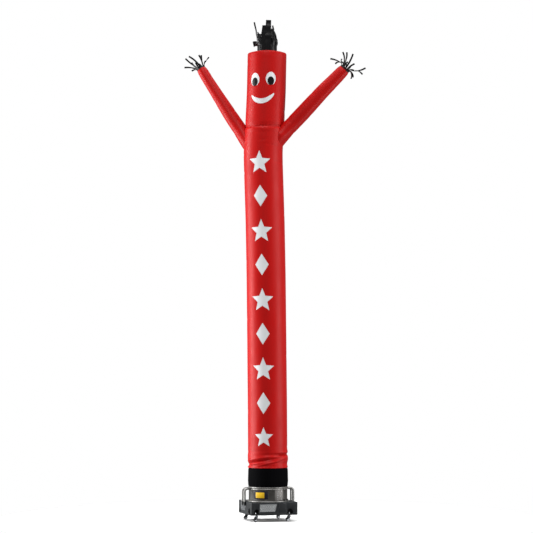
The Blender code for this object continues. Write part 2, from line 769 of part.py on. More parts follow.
def make_box(blower):
    """The moulded base: four walls and a top with the fan's hole, open below."""
    bm = bmesh.new()
    outline = rounded_square(BOX_HALF, BOX_CORNER_R, BOX_BOTTOM)
    prism(bm, outline, Vector((0.0, 0.0, BOX_TOP - BOX_BOTTOM)))
    box = make_object("base_box", bm, "box_plastic", blower)

    bm = bmesh.new()
    inside = rounded_square(BOX_HALF - BOX_WALL, BOX_CORNER_R - BOX_WALL, BOX_BOTTOM - 0.01)
    prism(bm, inside, Vector((0.0, 0.0, BOX_TOP - BOX_WALL - BOX_BOTTOM + 0.01)))
    cut(box, make_cutter("box_inside", bm, blower))

    bm = bmesh.new()
    turned(bm, (Turn(DRUM_BORE_R, BOX_BOTTOM), Turn(DRUM_BORE_R, BOX_TOP + 0.01)), DRUM_SIDES)
    cut(box, make_cutter("box_fan_hole", bm, blower))

    bm = bmesh.new()
    through = 3 * BOX_WALL
    for side in range(4):
        side_shape(bm, window_outline(), side, 2 * BOX_WALL, through)
        for arch in ARCHES:
            side_shape(bm, arch_outline(arch), side, 2 * BOX_WALL, through)
    cut(box, make_cutter("box_windows", bm, blower))


def make_floor_plate(blower):
    """The plate inside the foot of the walls that carries the casters."""
    bm = bmesh.new()
    inset = BOX_WALL + GAP
    outline = rounded_square(BOX_HALF - inset, BOX_CORNER_R - inset, BOX_BOTTOM)
    prism(bm, outline, Vector((0.0, 0.0, FLOOR_PLATE)))
    plate = make_object("floor_plate", bm, "box_plastic", blower)
    bm = bmesh.new()
    hole = (Turn(STUD_R + 0.0006, BOX_BOTTOM - 0.01), Turn(STUD_R + 0.0006, BOX_BOTTOM + 0.02))
    for spec in CASTERS:
        turned(bm, hole, 12, centre=(spec.x * CASTER_AT, spec.y * CASTER_AT))
    cut(plate, make_cutter("stud_holes", bm, blower))


def inside_window(along, z, margin):
    """Whether a diamond this far along and this high stays within the window."""
    left, right_low, right_high = WINDOW
    slope = (right_high - right_low) / (WINDOW_HEAD - WINDOW_SILL)
    right = right_low + slope * (z - WINDOW_SILL)
    high_enough = WINDOW_SILL + margin <= z <= WINDOW_HEAD - margin
    return high_enough and left + margin <= along <= right - margin


def make_mesh_panel(side, name, blower):
    """An expanded steel mesh behind a window: a plate cut through by rows of diamonds."""
    bm = bmesh.new()
    back = BOX_WALL + GAP + MESH_PLATE
    side_shape(bm, window_outline(MESH_MARGIN), side, back, MESH_PLATE)
    panel = make_object(name, bm, "mesh_steel", blower)

    bm = bmesh.new()
    reach = (MESH_PITCH - MESH_STRAND) / 2
    rows = ceil((WINDOW_HEAD - WINDOW_SILL) / (MESH_PITCH / 2)) + 1
    columns = ceil((WINDOW[2] - WINDOW[0]) / MESH_PITCH) + 1
    for row in range(rows):
        z = WINDOW_SILL + 0.0135 + row * MESH_PITCH / 2
        for column in range(columns):
            along = WINDOW[0] + 0.0145 + (column + (row % 2) / 2) * MESH_PITCH
            if inside_window(along, z, reach - 0.001):
                diamond = [(along, z - reach), (along + reach, z), (along, z + reach), (along - reach, z)]
                side_shape(bm, diamond, side, back + 0.001, MESH_PLATE + 0.002)
    cut(panel, make_cutter(f"{name}_gaps", bm, blower))


def make_cover_panel(blower):
    """The smooth slanted cover on the front, beside the mesh."""
    bm = bmesh.new()
    left_low, left_high, right = COVER_PANEL
    outline = [
        (left_low, WINDOW_SILL - 0.014),
        (right, WINDOW_SILL - 0.014),
        (right, WINDOW_HEAD + 0.004),
        (left_high, WINDOW_HEAD + 0.004),
    ]
    side_shape(bm, outline, 0, -GAP, COVER_THICK)
    make_object("front_cover", bm, "box_plastic", blower)


def make_drum(blower):
    bm = bmesh.new()
    turned(bm, DRUM_PROFILE, DRUM_SIDES, ends="joined")
    make_object("fan_drum", bm, "drum_paint", blower)


def drum_point(angle, z, stand_off):
    """A place on the drum's flat facets at an angle from the box's front."""
    facet = 2 * pi / DRUM_SIDES
    away = (angle - pi / 2) % facet - facet / 2
    radius = DRUM_R * cos(facet / 2) / cos(away) + stand_off
    return Vector((radius * sin(angle), -radius * cos(angle), z))


def make_drum_plate(name, spec, finish, blower):
    """A thin plate bent round the drum's wall, with its bends on the drum's own facets."""
    facet = 2 * pi / DRUM_SIDES
    first = radians(spec.middle_deg - spec.half_deg)
    last = radians(spec.middle_deg + spec.half_deg)
    angles = [first]
    angles += [k * facet for k in range(ceil(first / facet), floor(last / facet) + 1)]
    angles.append(last)
    sections = [
        [
            drum_point(angle, spec.low, spec.stand_off),
            drum_point(angle, spec.low, spec.stand_off + spec.thick),
            drum_point(angle, spec.high, spec.stand_off + spec.thick),
            drum_point(angle, spec.high, spec.stand_off),
        ]
        for angle in angles
    ]
    bm = bmesh.new()
    loft(bm, sections, ends="capped")
    make_object(name, bm, finish, blower)


def make_knobs(blower):
    """Two black knobs on the drum's bottom flange."""
    reach = (DRUM_R + FLANGE_R) / 2
    low = FLANGE_TOP + GAP
    for number, angle in enumerate(KNOB_ANGLES, start=1):
        place = (reach * sin(radians(angle)), -reach * cos(radians(angle)))
        bm = bmesh.new()
        profile = (Turn(KNOB_R, low), Turn(KNOB_R, low + KNOB_HEIGHT))
        turned(bm, profile, 12, centre=place)
        make_object(f"flange_knob_{number}", bm, "knob_plastic", blower)


def handle_path(sign, y):
    """The middle line of a handle: up from the box's side, round a quarter bend and in to the drum."""
    path = [Vector((HANDLE_X, y, HANDLE_FOOT))]
    for k in range(HANDLE_BENDS + 1):
        angle = (pi / 2) * k / HANDLE_BENDS
        path.append(Vector((
            HANDLE_X - HANDLE_BEND_R * (1.0 - cos(angle)),
            y,
            HANDLE_Z - HANDLE_BEND_R * (1.0 - sin(angle)),
        )))
    path.append(Vector((DRUM_R - HANDLE_R, y, HANDLE_Z)))
    return [Vector((sign * point.x, point.y, point.z)) for point in path]


def make_handles(blower):
    """Two bent tubes a side, trimmed to the drum's beads."""
    bm = bmesh.new()
    reach = BEAD_R + CUT_GAP
    turned(bm, (Turn(reach, HANDLE_Z - 0.05), Turn(reach, HANDLE_Z + 0.05)), DRUM_SIDES)
    drum_core = make_cutter("drum_core", bm, blower)
    for side, sign in (("left", -1), ("right", 1)):
        for place, y in (("front", -HANDLE_HALF_SPAN), ("back", HANDLE_HALF_SPAN)):
            path = handle_path(sign, y)
            rings = []
            for k, point in enumerate(path):
                along = path[min(k + 1, len(path) - 1)] - path[max(k - 1, 0)]
                along.normalize()
                across = Vector((-along.z, 0.0, along.x))
                turns = [2 * pi * i / HANDLE_SIDES for i in range(HANDLE_SIDES)]
                rings.append([
                    point + HANDLE_R * (across * cos(turn) + Vector((0.0, sin(turn), 0.0)))
                    for turn in turns
                ])
            bm = bmesh.new()
            loft(bm, rings, ends="capped")
            tube = make_object(f"handle_{side}_{place}", bm, "handle_steel", blower)
            cut(tube, drum_core)


def make_gland(blower):
    """The cable gland low on the back wall."""
    bm = bmesh.new()
    profile = (Turn(0.013, 0.0), Turn(0.013, 0.006), Turn(0.009, 0.008), Turn(0.0075, 0.022))
    turned(bm, profile, 12)
    bmesh.ops.rotate(bm, verts=bm.verts, matrix=Matrix.Rotation(-pi / 2, 3, "X"))
    bmesh.ops.translate(bm, verts=bm.verts, vec=Vector((0.085, BOX_HALF + GAP, 0.150)))
    make_object("cord_gland", bm, "knob_plastic", blower)


# ---------------------------------------------------------------- casters
def make_stud(spec, blower):
    """The threaded stud with its race below the floor plate and its nut above."""
    plate_top = BOX_BOTTOM + FLOOR_PLATE
    profile = (
        Turn(0.0160, FORK_TOP + 0.0005),
        Turn(0.0160, BOX_BOTTOM - GAP),
        Turn(STUD_R, BOX_BOTTOM - GAP),
        Turn(STUD_R, plate_top + GAP),
        Turn(0.0100, plate_top + GAP),
        Turn(0.0100, plate_top + 0.0100),
        Turn(STUD_R, plate_top + 0.0110),
        Turn(STUD_R, plate_top + 0.0200),
    )
    bm = bmesh.new()
    turned(bm, profile, 10)
    place = make_empty(
        f"stud_place_{spec.name}", blower, (spec.x * CASTER_AT, spec.y * CASTER_AT, 0.0)
    )
    make_object(f"caster_stud_{spec.name}", bm, "plated_steel", place)
    return place


def fork_outline():
    """Side view of the fork: a flat top, tapering to a round end about the axle."""
    axle = (WHEEL_TRAIL, AXLE_Z)
    end_r = 0.0085
    points = [(-0.014, FORK_TOP - 0.003), (-0.014, FORK_TOP - 0.012)]
    for step in range(5):
        angle = radians(205 + 150 * step / 4)
        points.append((axle[0] + end_r * cos(angle), axle[1] + end_r * sin(angle)))
    points.append((0.018, FORK_TOP - 0.003))
    return points


def make_fork(spec, swivel):
    """The swivelling fork with its axle, as one piece."""
    half = FORK_WIDTH / 2
    bm = bmesh.new()
    outline = [Vector((x, -half, z)) for x, z in fork_outline()]
    prism(bm, outline, Vector((0.0, FORK_WIDTH, 0.0)))
    fork = make_object(f"caster_fork_{spec.name}", bm, "plated_steel", swivel)

    bm = bmesh.new()
    slot = half - FORK_PLATE
    corners = [(-0.05, -slot), (0.08, -slot), (0.08, slot), (-0.05, slot)]
    prism(bm, [Vector((x, y, -0.01)) for x, y in corners], Vector((0.0, 0.0, FORK_TOP + 0.003)))
    cut(fork, make_cutter(f"fork_slot_{spec.name}", bm, swivel))

    bm = bmesh.new()
    axle = [
        Vector((
            WHEEL_TRAIL + AXLE_R * cos(2 * pi * i / 10),
            -half - 0.0015,
            AXLE_Z + AXLE_R * sin(2 * pi * i / 10),
        ))
        for i in range(10)
    ]
    prism(bm, axle, Vector((0.0, FORK_WIDTH + 0.003, 0.0)))
    cut(fork, make_cutter(f"fork_axle_{spec.name}", bm, swivel), "UNION")

    bm = bmesh.new()
    turned(bm, (Turn(0.0165, FORK_TOP - 0.0045), Turn(0.0165, FORK_TOP)), 16)
    cut(fork, make_cutter(f"fork_race_{spec.name}", bm, swivel), "UNION")


def make_wheel(spec, axle_place):
    """The wheel with its rounded tread and its bore, turned about the axle."""
    half = WHEEL_WIDTH / 2
    bore = AXLE_R + 0.0005
    profile = (
        Turn(bore, -half),
        Turn(0.0110, -half),
        Turn(0.0205, -half + 0.002),
        Turn(WHEEL_R, -half + 0.006),
        Turn(WHEEL_R, half - 0.006),
        Turn(0.0205, half - 0.002),
        Turn(0.0110, half),
        Turn(bore, half),
    )
    bm = bmesh.new()
    turned(bm, profile, WHEEL_SIDES, ends="joined")
    bmesh.ops.rotate(bm, verts=bm.verts, matrix=Matrix.Rotation(pi / 2, 3, "X"))
    bmesh.ops.rotate(bm, verts=bm.verts, matrix=Matrix.Rotation(pi / WHEEL_SIDES, 3, "Y"))
    make_object(f"caster_wheel_{spec.name}", bm, "wheel_rubber", axle_place)


def make_casters(blower):
    for spec in CASTERS:
        place = make_stud(spec, blower)
        swivel = make_empty(f"swivel_{spec.name}", place, turn_deg=spec.trail_deg)
        make_fork(spec, swivel)
        axle_place = make_empty(f"axle_{spec.name}", swivel, (WHEEL_TRAIL, 0.0, AXLE_Z))
        make_wheel(spec, axle_place)


# ---------------------------------------------------------------- the whole model
def centre_over_origin(blower):
    """Moves the whole model so that the middle of its outline from above lies at the origin."""
    bpy.context.view_layer.update()
    graph = bpy.context.evaluated_depsgraph_get()
    places = []
    for item in bpy.data.objects:
        if item.type == "MESH" and not item.hide_render:
            shown = item.evaluated_get(graph)
            places += [shown.matrix_world @ vert.co for vert in shown.data.vertices]
    for axis in (0, 1):
        values = [place[axis] for place in places]
        blower.location[axis] -= (min(values) + max(values)) / 2


def build():
    clear_scene()
    blower = make_empty("blower_axis")
    dancer = make_empty("dancer_axis", blower, turn_deg=-FACE_TURN)
    make_body(dancer)
    make_crown(dancer)
    make_hair(dancer)
    make_hand_fringe("fringe_left", ARM_LEFT, FRINGE_LEFT, dancer)
    make_hand_fringe("fringe_right", ARM_RIGHT, FRINGE_RIGHT, dancer)
    make_face(dancer)
    make_motifs(dancer)
    make_cuff(blower)
    make_drum(blower)
    make_drum_plate("label_plate", LABEL_PLATE, "label_dark", blower)
    make_drum_plate("label_block", LABEL_BLOCK, "label_yellow", blower)
    make_drum_plate("seam_plate", SEAM_PLATE, "drum_paint", blower)
    make_knobs(blower)
    make_box(blower)
    make_floor_plate(blower)
    for side, name in enumerate(("front", "right", "back", "left")):
        make_mesh_panel(side, f"mesh_{name}", blower)
    make_cover_panel(blower)
    make_handles(blower)
    make_gland(blower)
    make_casters(blower)
    centre_over_origin(blower)


build()
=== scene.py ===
"""Looks of an inflatable air dancer on its fan blower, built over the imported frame."""

import json
import logging
import math
from dataclasses import dataclass
from enum import Enum
from typing import Callable, Mapping, NamedTuple, Sequence

import bpy
import numpy as np
from bpy.types import Material, Node, NodeSocket, NodeTree, Object
from mathutils import Matrix, Vector

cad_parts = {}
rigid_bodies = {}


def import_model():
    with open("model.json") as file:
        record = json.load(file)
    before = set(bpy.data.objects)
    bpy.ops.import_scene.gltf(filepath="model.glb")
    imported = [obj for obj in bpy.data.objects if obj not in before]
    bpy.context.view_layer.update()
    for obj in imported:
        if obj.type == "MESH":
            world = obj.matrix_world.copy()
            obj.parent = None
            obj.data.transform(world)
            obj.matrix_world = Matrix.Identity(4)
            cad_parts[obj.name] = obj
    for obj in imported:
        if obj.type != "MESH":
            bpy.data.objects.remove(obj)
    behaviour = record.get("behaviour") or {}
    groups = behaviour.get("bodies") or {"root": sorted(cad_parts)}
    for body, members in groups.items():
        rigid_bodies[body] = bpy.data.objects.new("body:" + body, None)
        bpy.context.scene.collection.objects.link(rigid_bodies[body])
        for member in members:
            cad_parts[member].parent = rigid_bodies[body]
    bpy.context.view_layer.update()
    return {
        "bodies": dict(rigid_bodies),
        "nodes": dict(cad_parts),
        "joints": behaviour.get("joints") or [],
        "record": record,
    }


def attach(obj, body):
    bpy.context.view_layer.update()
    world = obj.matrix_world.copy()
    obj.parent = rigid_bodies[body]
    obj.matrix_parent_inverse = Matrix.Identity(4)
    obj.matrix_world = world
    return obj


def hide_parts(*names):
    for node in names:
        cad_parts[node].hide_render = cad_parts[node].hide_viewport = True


log = logging.getLogger("air_dancer")
Array = np.ndarray

AXIS = (-0.04473, 0.02712)  # upright middle line of the tube and of the blower, in plan
FACE_TURN = 28.0  # degrees from the blower's front to the dancer's face
FULL_TURN = 2 * math.pi
CLOTH = 0.0011  # the tube's nylon is drawn thicker than its real 0.15 mm, to show at its edges
LIFT = 0.0002  # between two cloths that lie on each other


# ---------------------------------------------------------------- small helpers
def deselect_all() -> None:
    """Leaves object mode with nothing selected."""
    if bpy.context.object is not None and bpy.context.object.mode != "OBJECT":
        bpy.ops.object.mode_set(mode="OBJECT")
    bpy.ops.object.select_all(action="DESELECT")


def take_up(obj: Object) -> None:
    """Makes an object the only selected and the active one.

    Args:
        obj: The piece.
    """
    deselect_all()
    obj.select_set(True)
    bpy.context.view_layer.objects.active = obj


def apply_modifier(obj: Object, kind: str, **settings: object) -> None:
    """Adds a modifier and applies it.

    Args:
        obj: The piece.
        kind: Blender's name of the modifier's type.
        settings: The modifier's own settings.
    """
    take_up(obj)
    modifier = obj.modifiers.new(kind.lower(), kind)
    for name, value in settings.items():
        setattr(modifier, name, value)
    bpy.ops.object.modifier_apply(modifier=modifier.name)


def clean_up(obj: Object, gap: float = 1e-5, recalculate: bool = True) -> None:
    """Merges doubled points and turns the faces outwards.

    Args:
        obj: The piece.
        gap: Points nearer than this are merged.
        recalculate: Whether the normals are worked out again.
    """
    take_up(obj)
    bpy.ops.object.mode_set(mode="EDIT")
    bpy.ops.mesh.select_all(action="SELECT")
    bpy.ops.mesh.remove_doubles(threshold=gap)
    if recalculate:
        bpy.ops.mesh.normals_make_consistent(inside=False)
    bpy.ops.object.mode_set(mode="OBJECT")


def settle(obj: Object, smooth_deg: float = 35.0) -> Object:
    """Puts a finished piece's place into its mesh and shades it smooth up to an angle.

    Args:
        obj: The piece.
        smooth_deg: Edges sharper than this stay crisp.

    Returns:
        The same piece.
    """
    take_up(obj)
    bpy.ops.object.transform_apply(location=True, rotation=True, scale=True)
    bpy.ops.object.shade_smooth_by_angle(angle=math.radians(smooth_deg))
    return obj


def join(pieces: Sequence[Object], name: str) -> Object:
    """Joins pieces into the first one and names it.

    Args:
        pieces: The first one takes up the others.
        name: The joined piece's name.

    Returns:
        The joined piece.
    """
    take_up(pieces[0])
    for piece in pieces:
        piece.select_set(True)
    bpy.ops.object.join()
    pieces[0].name = name
    pieces[0].data.name = name
    return pieces[0]


def fit(
    piece: Object,
    material: Material,
    body: str = "root",
    node: str | None = None,
) -> Object:
    """Dresses a finished piece and puts it on the part.

    Args:
        piece: The piece.
        material: Its only material.
        body: The body that it rides on.
        node: The CAD node that it stands for, unless that is told already.

    Returns:
        The same piece.
    """
    piece.data.materials.clear()
    piece.data.materials.append(material)
    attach(piece, body)
    if node:
        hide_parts(node)
    log.info("%s: %d faces", piece.name, len(piece.data.polygons))
    return piece


class Laid(NamedTuple):
    """Where a grid's points go, in metres.

    Their places, their cloth coordinates, and their run along the nearest seam and how far it is.
    """

    points: Array
    cloth: Array
    seam: Array


Lay = Callable[[Array, Array], Laid]  # from shares, 0 to 1, of a grid's two sides


def lay_grid(
    name: str,
    columns: int,
    rows: int,
    lay: Lay,
    thickness: float = CLOTH,
    outward: bool = False,
) -> Object:
    """Lays a primitive grid along a surface and gives it the cloth's thickness.

    Args:
        name: The piece's name.
        columns: Faces along the grid's first side.
        rows: Faces along its second side.
        lay: Says where the points go.
        thickness: The cloth's thickness; 0 leaves a bare surface.
        outward: Whether the thickness is laid outside the surface.

    Returns:
        The new piece.
    """
    deselect_all()
    bpy.ops.mesh.primitive_grid_add(x_subdivisions=columns, y_subdivisions=rows, size=1.0)
    obj = bpy.context.object
    obj.name = obj.data.name = name
    mesh = obj.data
    flat = np.empty(len(mesh.vertices) * 3)
    mesh.vertices.foreach_get("co", flat)
    share = flat.reshape(-1, 3) + 0.5
    laid = lay(np.clip(share[:, 0], 0.0, 1.0), np.clip(share[:, 1], 0.0, 1.0))
    mesh.vertices.foreach_set("co", laid.points.astype(float).ravel())
    corners = np.empty(len(mesh.loops), int)
    mesh.loops.foreach_get("vertex_index", corners)
    mesh.uv_layers[0].name = "cloth"
    mesh.uv_layers["cloth"].data.foreach_set("uv", laid.cloth[corners].astype(float).ravel())
    mesh.uv_layers.new(name="seam")
    mesh.uv_layers["seam"].data.foreach_set("uv", laid.seam[corners].astype(float).ravel())
    clean_up(obj, gap=1e-6, recalculate=False)
    if thickness:
        apply_modifier(obj, "SOLIDIFY", thickness=thickness, offset=1.0 if outward else -1.0)
    take_up(obj)
    bpy.ops.object.shade_smooth_by_angle(angle=math.radians(50))
    return obj


def catmull(values: Array, place: Array) -> Array:
    """A smooth curve through a table's rows.

    Args:
        values: One row for each station.
        place: Where on the table to read, from 0 to the last row's number.

    Returns:
        One row for each place.
    """
    last = len(values) - 1
    low = np.clip(np.floor(place).astype(int), 0, last - 1)
    share = (place - low)[:, None]
    p0, p1 = values[np.maximum(low - 1, 0)], values[low]
    p2, p3 = values[low + 1], values[np.minimum(low + 2, last)]
    return 0.5 * (
        2 * p1
        + (p2 - p0) * share
        + (2 * p0 - 5 * p1 + 4 * p2 - p3) * share**2
        + (3 * p1 - p0 - 3 * p2 + p3) * share**3
    )


def heading_along(values: Array, place: Array, step: float = 0.02) -> Array:
    """The way that a table's curve runs, from a step before each place to a step after it.

    Args:
        values: One row for each station.
        place: Where on the table to read.
        step: How far to either side.

    Returns:
        One way for each place.
    """
    last = len(values) - 1
    ahead, behind = np.minimum(place + step, last), np.maximum(place - step, 0)
    return catmull(values, ahead) - catmull(values, behind)


def unit(vectors: Array) -> Array:
    """Vectors, one a row, each made one metre long."""
    return vectors / np.linalg.norm(vectors, axis=1)[:, None]


def bell(away: Array, half: float) -> Array:
    """A smooth bump that is 1 at nothing and falls off over half."""
    return np.exp(-((away / half) ** 2))


def around(angle: Array, radius: Array, z: Array, middle: Array | float = 0.0) -> Array:
    """Places about an upright middle line, their angles counted from the front to the right."""
    return np.stack([middle + radius * np.sin(angle), -radius * np.cos(angle), z], axis=1)


def turn_points(points: Array, degrees: float) -> Array:
    """Turns places about the upright axis and moves them from the part's middle line to the frame.

    Args:
        points: Places about the middle line.
        degrees: How far they turn, anticlockwise from above.

    Returns:
        The places in the frame.
    """
    c, s = math.cos(math.radians(degrees)), math.sin(math.radians(degrees))
    x = points[:, 0] * c - points[:, 1] * s + AXIS[0]
    y = points[:, 0] * s + points[:, 1] * c + AXIS[1]
    return np.stack([x, y, points[:, 2]], axis=1)


def from_dancer(points: Array) -> Array:
    """Places given from the dancer's face and middle line, in the frame."""
    return turn_points(points, -FACE_TURN)


def from_blower(points: Array) -> Array:
    """Places given from the blower's front and middle line, in the frame."""
    return turn_points(points, 0.0)


# ---------------------------------------------------------------- finishes
def linear(colour: str) -> tuple[float, float, float, float]:
    """An sRGB hex colour as linear RGBA."""
    parts = [int(colour[i : i + 2], 16) / 255 for i in (1, 3, 5)]
    return (*(p / 12.92 if p <= 0.04045 else ((p + 0.055) / 1.055) ** 2.4 for p in parts), 1.0)


def add_node(tree: NodeTree, kind: str, values: Mapping[str | int, object] | None = None) -> Node:
    """Adds a node with its settings and links.

    Args:
        tree: The material's or the world's nodes.
        kind: Blender's name of the node's type, without ShaderNode.
        values: By the name of a property, or the name or number of a socket: a value, a socket to
            link from, or a node, which stands for its first output.

    Returns:
        The new node.
    """
    node = tree.nodes.new("ShaderNode" + kind)
    for name, value in (values or {}).items():
        source = value.outputs[0] if isinstance(value, Node) else value
        if isinstance(source, NodeSocket):
            tree.links.new(source, node.inputs[name])
        elif isinstance(name, str) and hasattr(node, name):
            setattr(node, name, value)
        else:
            node.inputs[name].default_value = value
    return node


def new_material(name: str) -> Material:
    """A material without nodes yet.

    Args:
        name: Its name.

    Returns:
        The material.
    """
    material = bpy.data.materials.new(name)
    material.use_nodes = True
    material.node_tree.nodes.clear()
    return material


def finished(material: Material, values: Mapping[str, object]) -> Material:
    """Closes a material with its shader, whose sockets are given by name.

    Args:
        material: The material.
        values: What each socket is set to or linked from.

    Returns:
        The same material.
    """
    shader = add_node(material.node_tree, "BsdfPrincipled", values)
    add_node(material.node_tree, "OutputMaterial", {"Surface": shader})
    return material


@dataclass(frozen=True)
class CoatedNylon:
    """Ripstop nylon with a shiny coating: inflatable cloth, finely creased, with a satin sheen."""

    name: str
    colour: str
    shade: str
    thread: str
    roughness: float = 0.42
    specular: float = 0.14
    ripstop_mm: float = 6.0  # between the thicker yarns
    rib_depth: float = 0.0002
    stitch_mm: float = 5.0
    stitch_in_mm: float = 7.0  # from the cloth's edge to its row of stitches
    stitch_half: float = 0.0009  # half the thread's width, drawn coarse enough to show
    stitch_share: float = 0.68  # of each stitch's length that is thread
    stitch_depth: float = 0.0005
    dye_mm: float = 200.0  # from one deeper patch of dye to the next
    crease_mm: float = 71.43  # from one packing crease to the next
    crumple_mm: float = 0.9  # how deep the creases are

    def build(self) -> Material:
        """Builds the cloth.

        Returns:
            The finished material.
        """
        material = new_material(self.name)
        tree = material.node_tree
        cloth = add_node(tree, "UVMap", {"uv_map": "cloth"})
        # slow drift of the dye
        slow = {"Scale": 1000.0 / self.dye_mm, "Detail": 3.0}
        drift = add_node(tree, "TexNoise", {**slow, "Vector": cloth})
        dyes = {"data_type": "RGBA", 0: drift, 6: linear(self.colour), 7: linear(self.shade)}
        tint = add_node(tree, "Mix", dyes)
        stitch = self.stitches(tree)
        thread = {"data_type": "RGBA", 0: stitch, 6: tint.outputs[2], 7: linear(self.thread)}
        sewn = add_node(tree, "Mix", thread)
        # the creases that packing leaves, the ripstop's ribs over them, and the stitches on top
        noise = {"Detail": 2.0, "Roughness": 0.45, "Distortion": 0.5, "Vector": cloth}
        crumple = add_node(tree, "TexNoise", {**noise, "Scale": 1000.0 / self.crease_mm})
        raised = None
        for strength, depth, height in (
            (0.55, self.crumple_mm / 1000, crumple.outputs[0]),
            (0.25, self.rib_depth, self.ripstop(tree, cloth)),
            (0.8, self.stitch_depth, stitch.outputs[0]),
        ):
            under = {"Normal": raised} if raised else {}
            bump = {"Strength": strength, "Distance": depth, "Height": height, **under}
            raised = add_node(tree, "Bump", bump)
        spread = {"To Min": self.roughness - 0.05, "To Max": self.roughness + 0.07}
        spread.update({"Value": drift, "From Min": 0.3, "From Max": 0.7})
        gloss = add_node(tree, "MapRange", spread)
        looks = {"Base Color": sewn.outputs[2], "Roughness": gloss, "Normal": raised}
        return finished(material, {**looks, "Specular IOR Level": self.specular})

    def ripstop(self, tree: NodeTree, cloth: Node) -> NodeSocket:
        """The square grid of thicker yarns.

        Args:
            tree: The material's nodes.
            cloth: The cloth coordinates.

        Returns:
            Where the yarns stand up.
        """
        colours = {"Color1": (0, 0, 0, 1), "Color2": (0, 0, 0, 1), "Mortar": (1, 1, 1, 1)}
        yarns = {"Mortar Size": 0.10, "Mortar Smooth": 0.6, "Brick Width": 1.0, "Row Height": 1.0}
        laid = {"offset": 0.0, "squash": 1.0, "Scale": 1000.0 / self.ripstop_mm, "Vector": cloth}
        return add_node(tree, "TexBrick", {**laid, **colours, **yarns}).outputs["Fac"]

    def stitches(self, tree: NodeTree) -> Node:
        """A dash wherever the distance from the edge is right and the thread is on top.

        Args:
            tree: The material's nodes.

        Returns:
            Where the thread lies on top.
        """
        seam = add_node(tree, "SeparateXYZ", {0: add_node(tree, "UVMap", {"uv_map": "seam"})})
        inset = {1: self.stitch_in_mm / 1000, 2: self.stitch_half}
        row = add_node(tree, "Math", {"operation": "COMPARE", 0: seam.outputs[1], **inset})
        count = {"operation": "MULTIPLY", 0: seam.outputs[0], 1: 1000.0 / self.stitch_mm}
        beat = add_node(tree, "Math", {"operation": "FRACT", 0: add_node(tree, "Math", count)})
        dash = add_node(tree, "Math", {"operation": "LESS_THAN", 0: beat, 1: self.stitch_share})
        return add_node(tree, "Math", {"operation": "MULTIPLY", 0: row, 1: dash})


@dataclass(frozen=True)
class HardFinish:
    """A hard surface with its grain, its slow stains, its spots of wear and, where set, a pale line
    along its edges that is partly wear and partly painted highlight.
    """

    name: str
    colour: str
    wear_and_highlight_colour: str
    roughness: float
    metallic: float = 0.0
    grain_mm: float = 1.2
    grain_depth_mm: float = 0.05
    stain_mm: float = 90.91  # from one slow stain to the next
    stretch: tuple[float, float, float] = (1.0, 1.0, 1.0)  # brushing draws the grain out
    wear: float = 0.25
    coat: float = 0.0
    edge_mm: float = 0.0  # how far the pale edge line reaches from an edge: partly wear, partly painted highlight
    specular: float = 0.5
    dip_top: float = 0.0  # height up to which the piece is dipped in black plastic

    def build(self) -> Material:
        """Builds the surface.

        Returns:
            The finished material.
        """
        material = new_material(self.name)
        tree = material.node_tree
        place = add_node(tree, "TexCoord").outputs["Object"]
        drawn = add_node(tree, "Mapping", {"Scale": self.stretch, "Vector": place})
        fine = {"Scale": 1000.0 / self.grain_mm / 2.5, "Detail": 3.0}  # 2.5 grains to a noise cell
        grain = add_node(tree, "TexNoise", {**fine, "Vector": drawn})
        slow = {"Scale": 1000.0 / self.stain_mm, "Detail": 5.0, "Roughness": 0.6}
        stain = add_node(tree, "TexNoise", {**slow, "Vector": place})
        spots = {"Value": stain, "From Min": 0.52, "From Max": 0.74, "To Max": self.wear}
        pale_share = add_node(tree, "MapRange", spots)
        # a pale line along the edges, partly wear and partly painted highlight where rounded edges
        # catch the light
        if self.edge_mm:
            pale_share = self.edge_wear_and_highlight(tree, pale_share)
        paints = {"data_type": "RGBA", 0: pale_share, 6: linear(self.colour), 7: linear(self.wear_and_highlight_colour)}
        tint = add_node(tree, "Mix", paints).outputs[2]
        spread = {"To Min": self.roughness - 0.06, "To Max": self.roughness + 0.10}
        spread.update({"Value": stain, "From Min": 0.3, "From Max": 0.7})
        gloss = add_node(tree, "MapRange", spread)
        bump = {"Strength": 0.5, "Distance": self.grain_depth_mm / 1000, "Height": grain}
        looks = {
            "Base Color": tint,
            "Metallic": self.metallic,
            "Roughness": gloss,
            "Normal": add_node(tree, "Bump", bump),
            "Specular IOR Level": self.specular,
            "Coat Weight": self.coat,
        }
        if self.dip_top:
            looks.update(self.dipped_foot(tree, place, tint))
        return finished(material, looks)

    def dipped_foot(self, tree: NodeTree, place: NodeSocket, tint: NodeSocket) -> dict[str, object]:
        """Black dipped plastic on the foot of the piece.

        Args:
            tree: The material's nodes.
            place: The object's own coordinates.
            tint: The bare metal's colour.

        Returns:
            The shader's colour and metallic.
        """
        height = add_node(tree, "SeparateXYZ", {0: place}).outputs["Z"]
        edge = {"From Min": self.dip_top, "From Max": self.dip_top + 0.001}
        bare = add_node(tree, "MapRange", {**edge, "Value": height})
        plastic = {"data_type": "RGBA", 0: bare, 6: linear("#131415"), 7: tint}
        metal = add_node(tree, "Math", {"operation": "MULTIPLY", 0: bare, 1: self.metallic})
        return {"Base Color": add_node(tree, "Mix", plastic).outputs[2], "Metallic": metal}

    def edge_wear_and_highlight(self, tree: NodeTree, pale_share: Node) -> Node:
        """Adds a pale line along the edges: partly the wear of handling, partly a painted highlight
        where rounded edges and beads catch the light.

        Args:
            tree: The material's nodes.
            pale_share: How far the surface is paled by wear elsewhere.

        Returns:
            How pale it is in all, from wear and painted highlight.
        """
        rounded = add_node(tree, "Bevel", {"samples": 4, "Radius": self.edge_mm / 1000})
        flat = add_node(tree, "NewGeometry").outputs["Normal"]
        match = add_node(tree, "VectorMath", {"operation": "DOT_PRODUCT", 0: rounded, 1: flat})
        turned = {"From Min": 0.995, "From Max": 0.90, "Value": match.outputs["Value"]}
        edge = add_node(tree, "MapRange", turned)
        return add_node(tree, "Math", {"operation": "MAXIMUM", 0: pale_share, 1: edge})


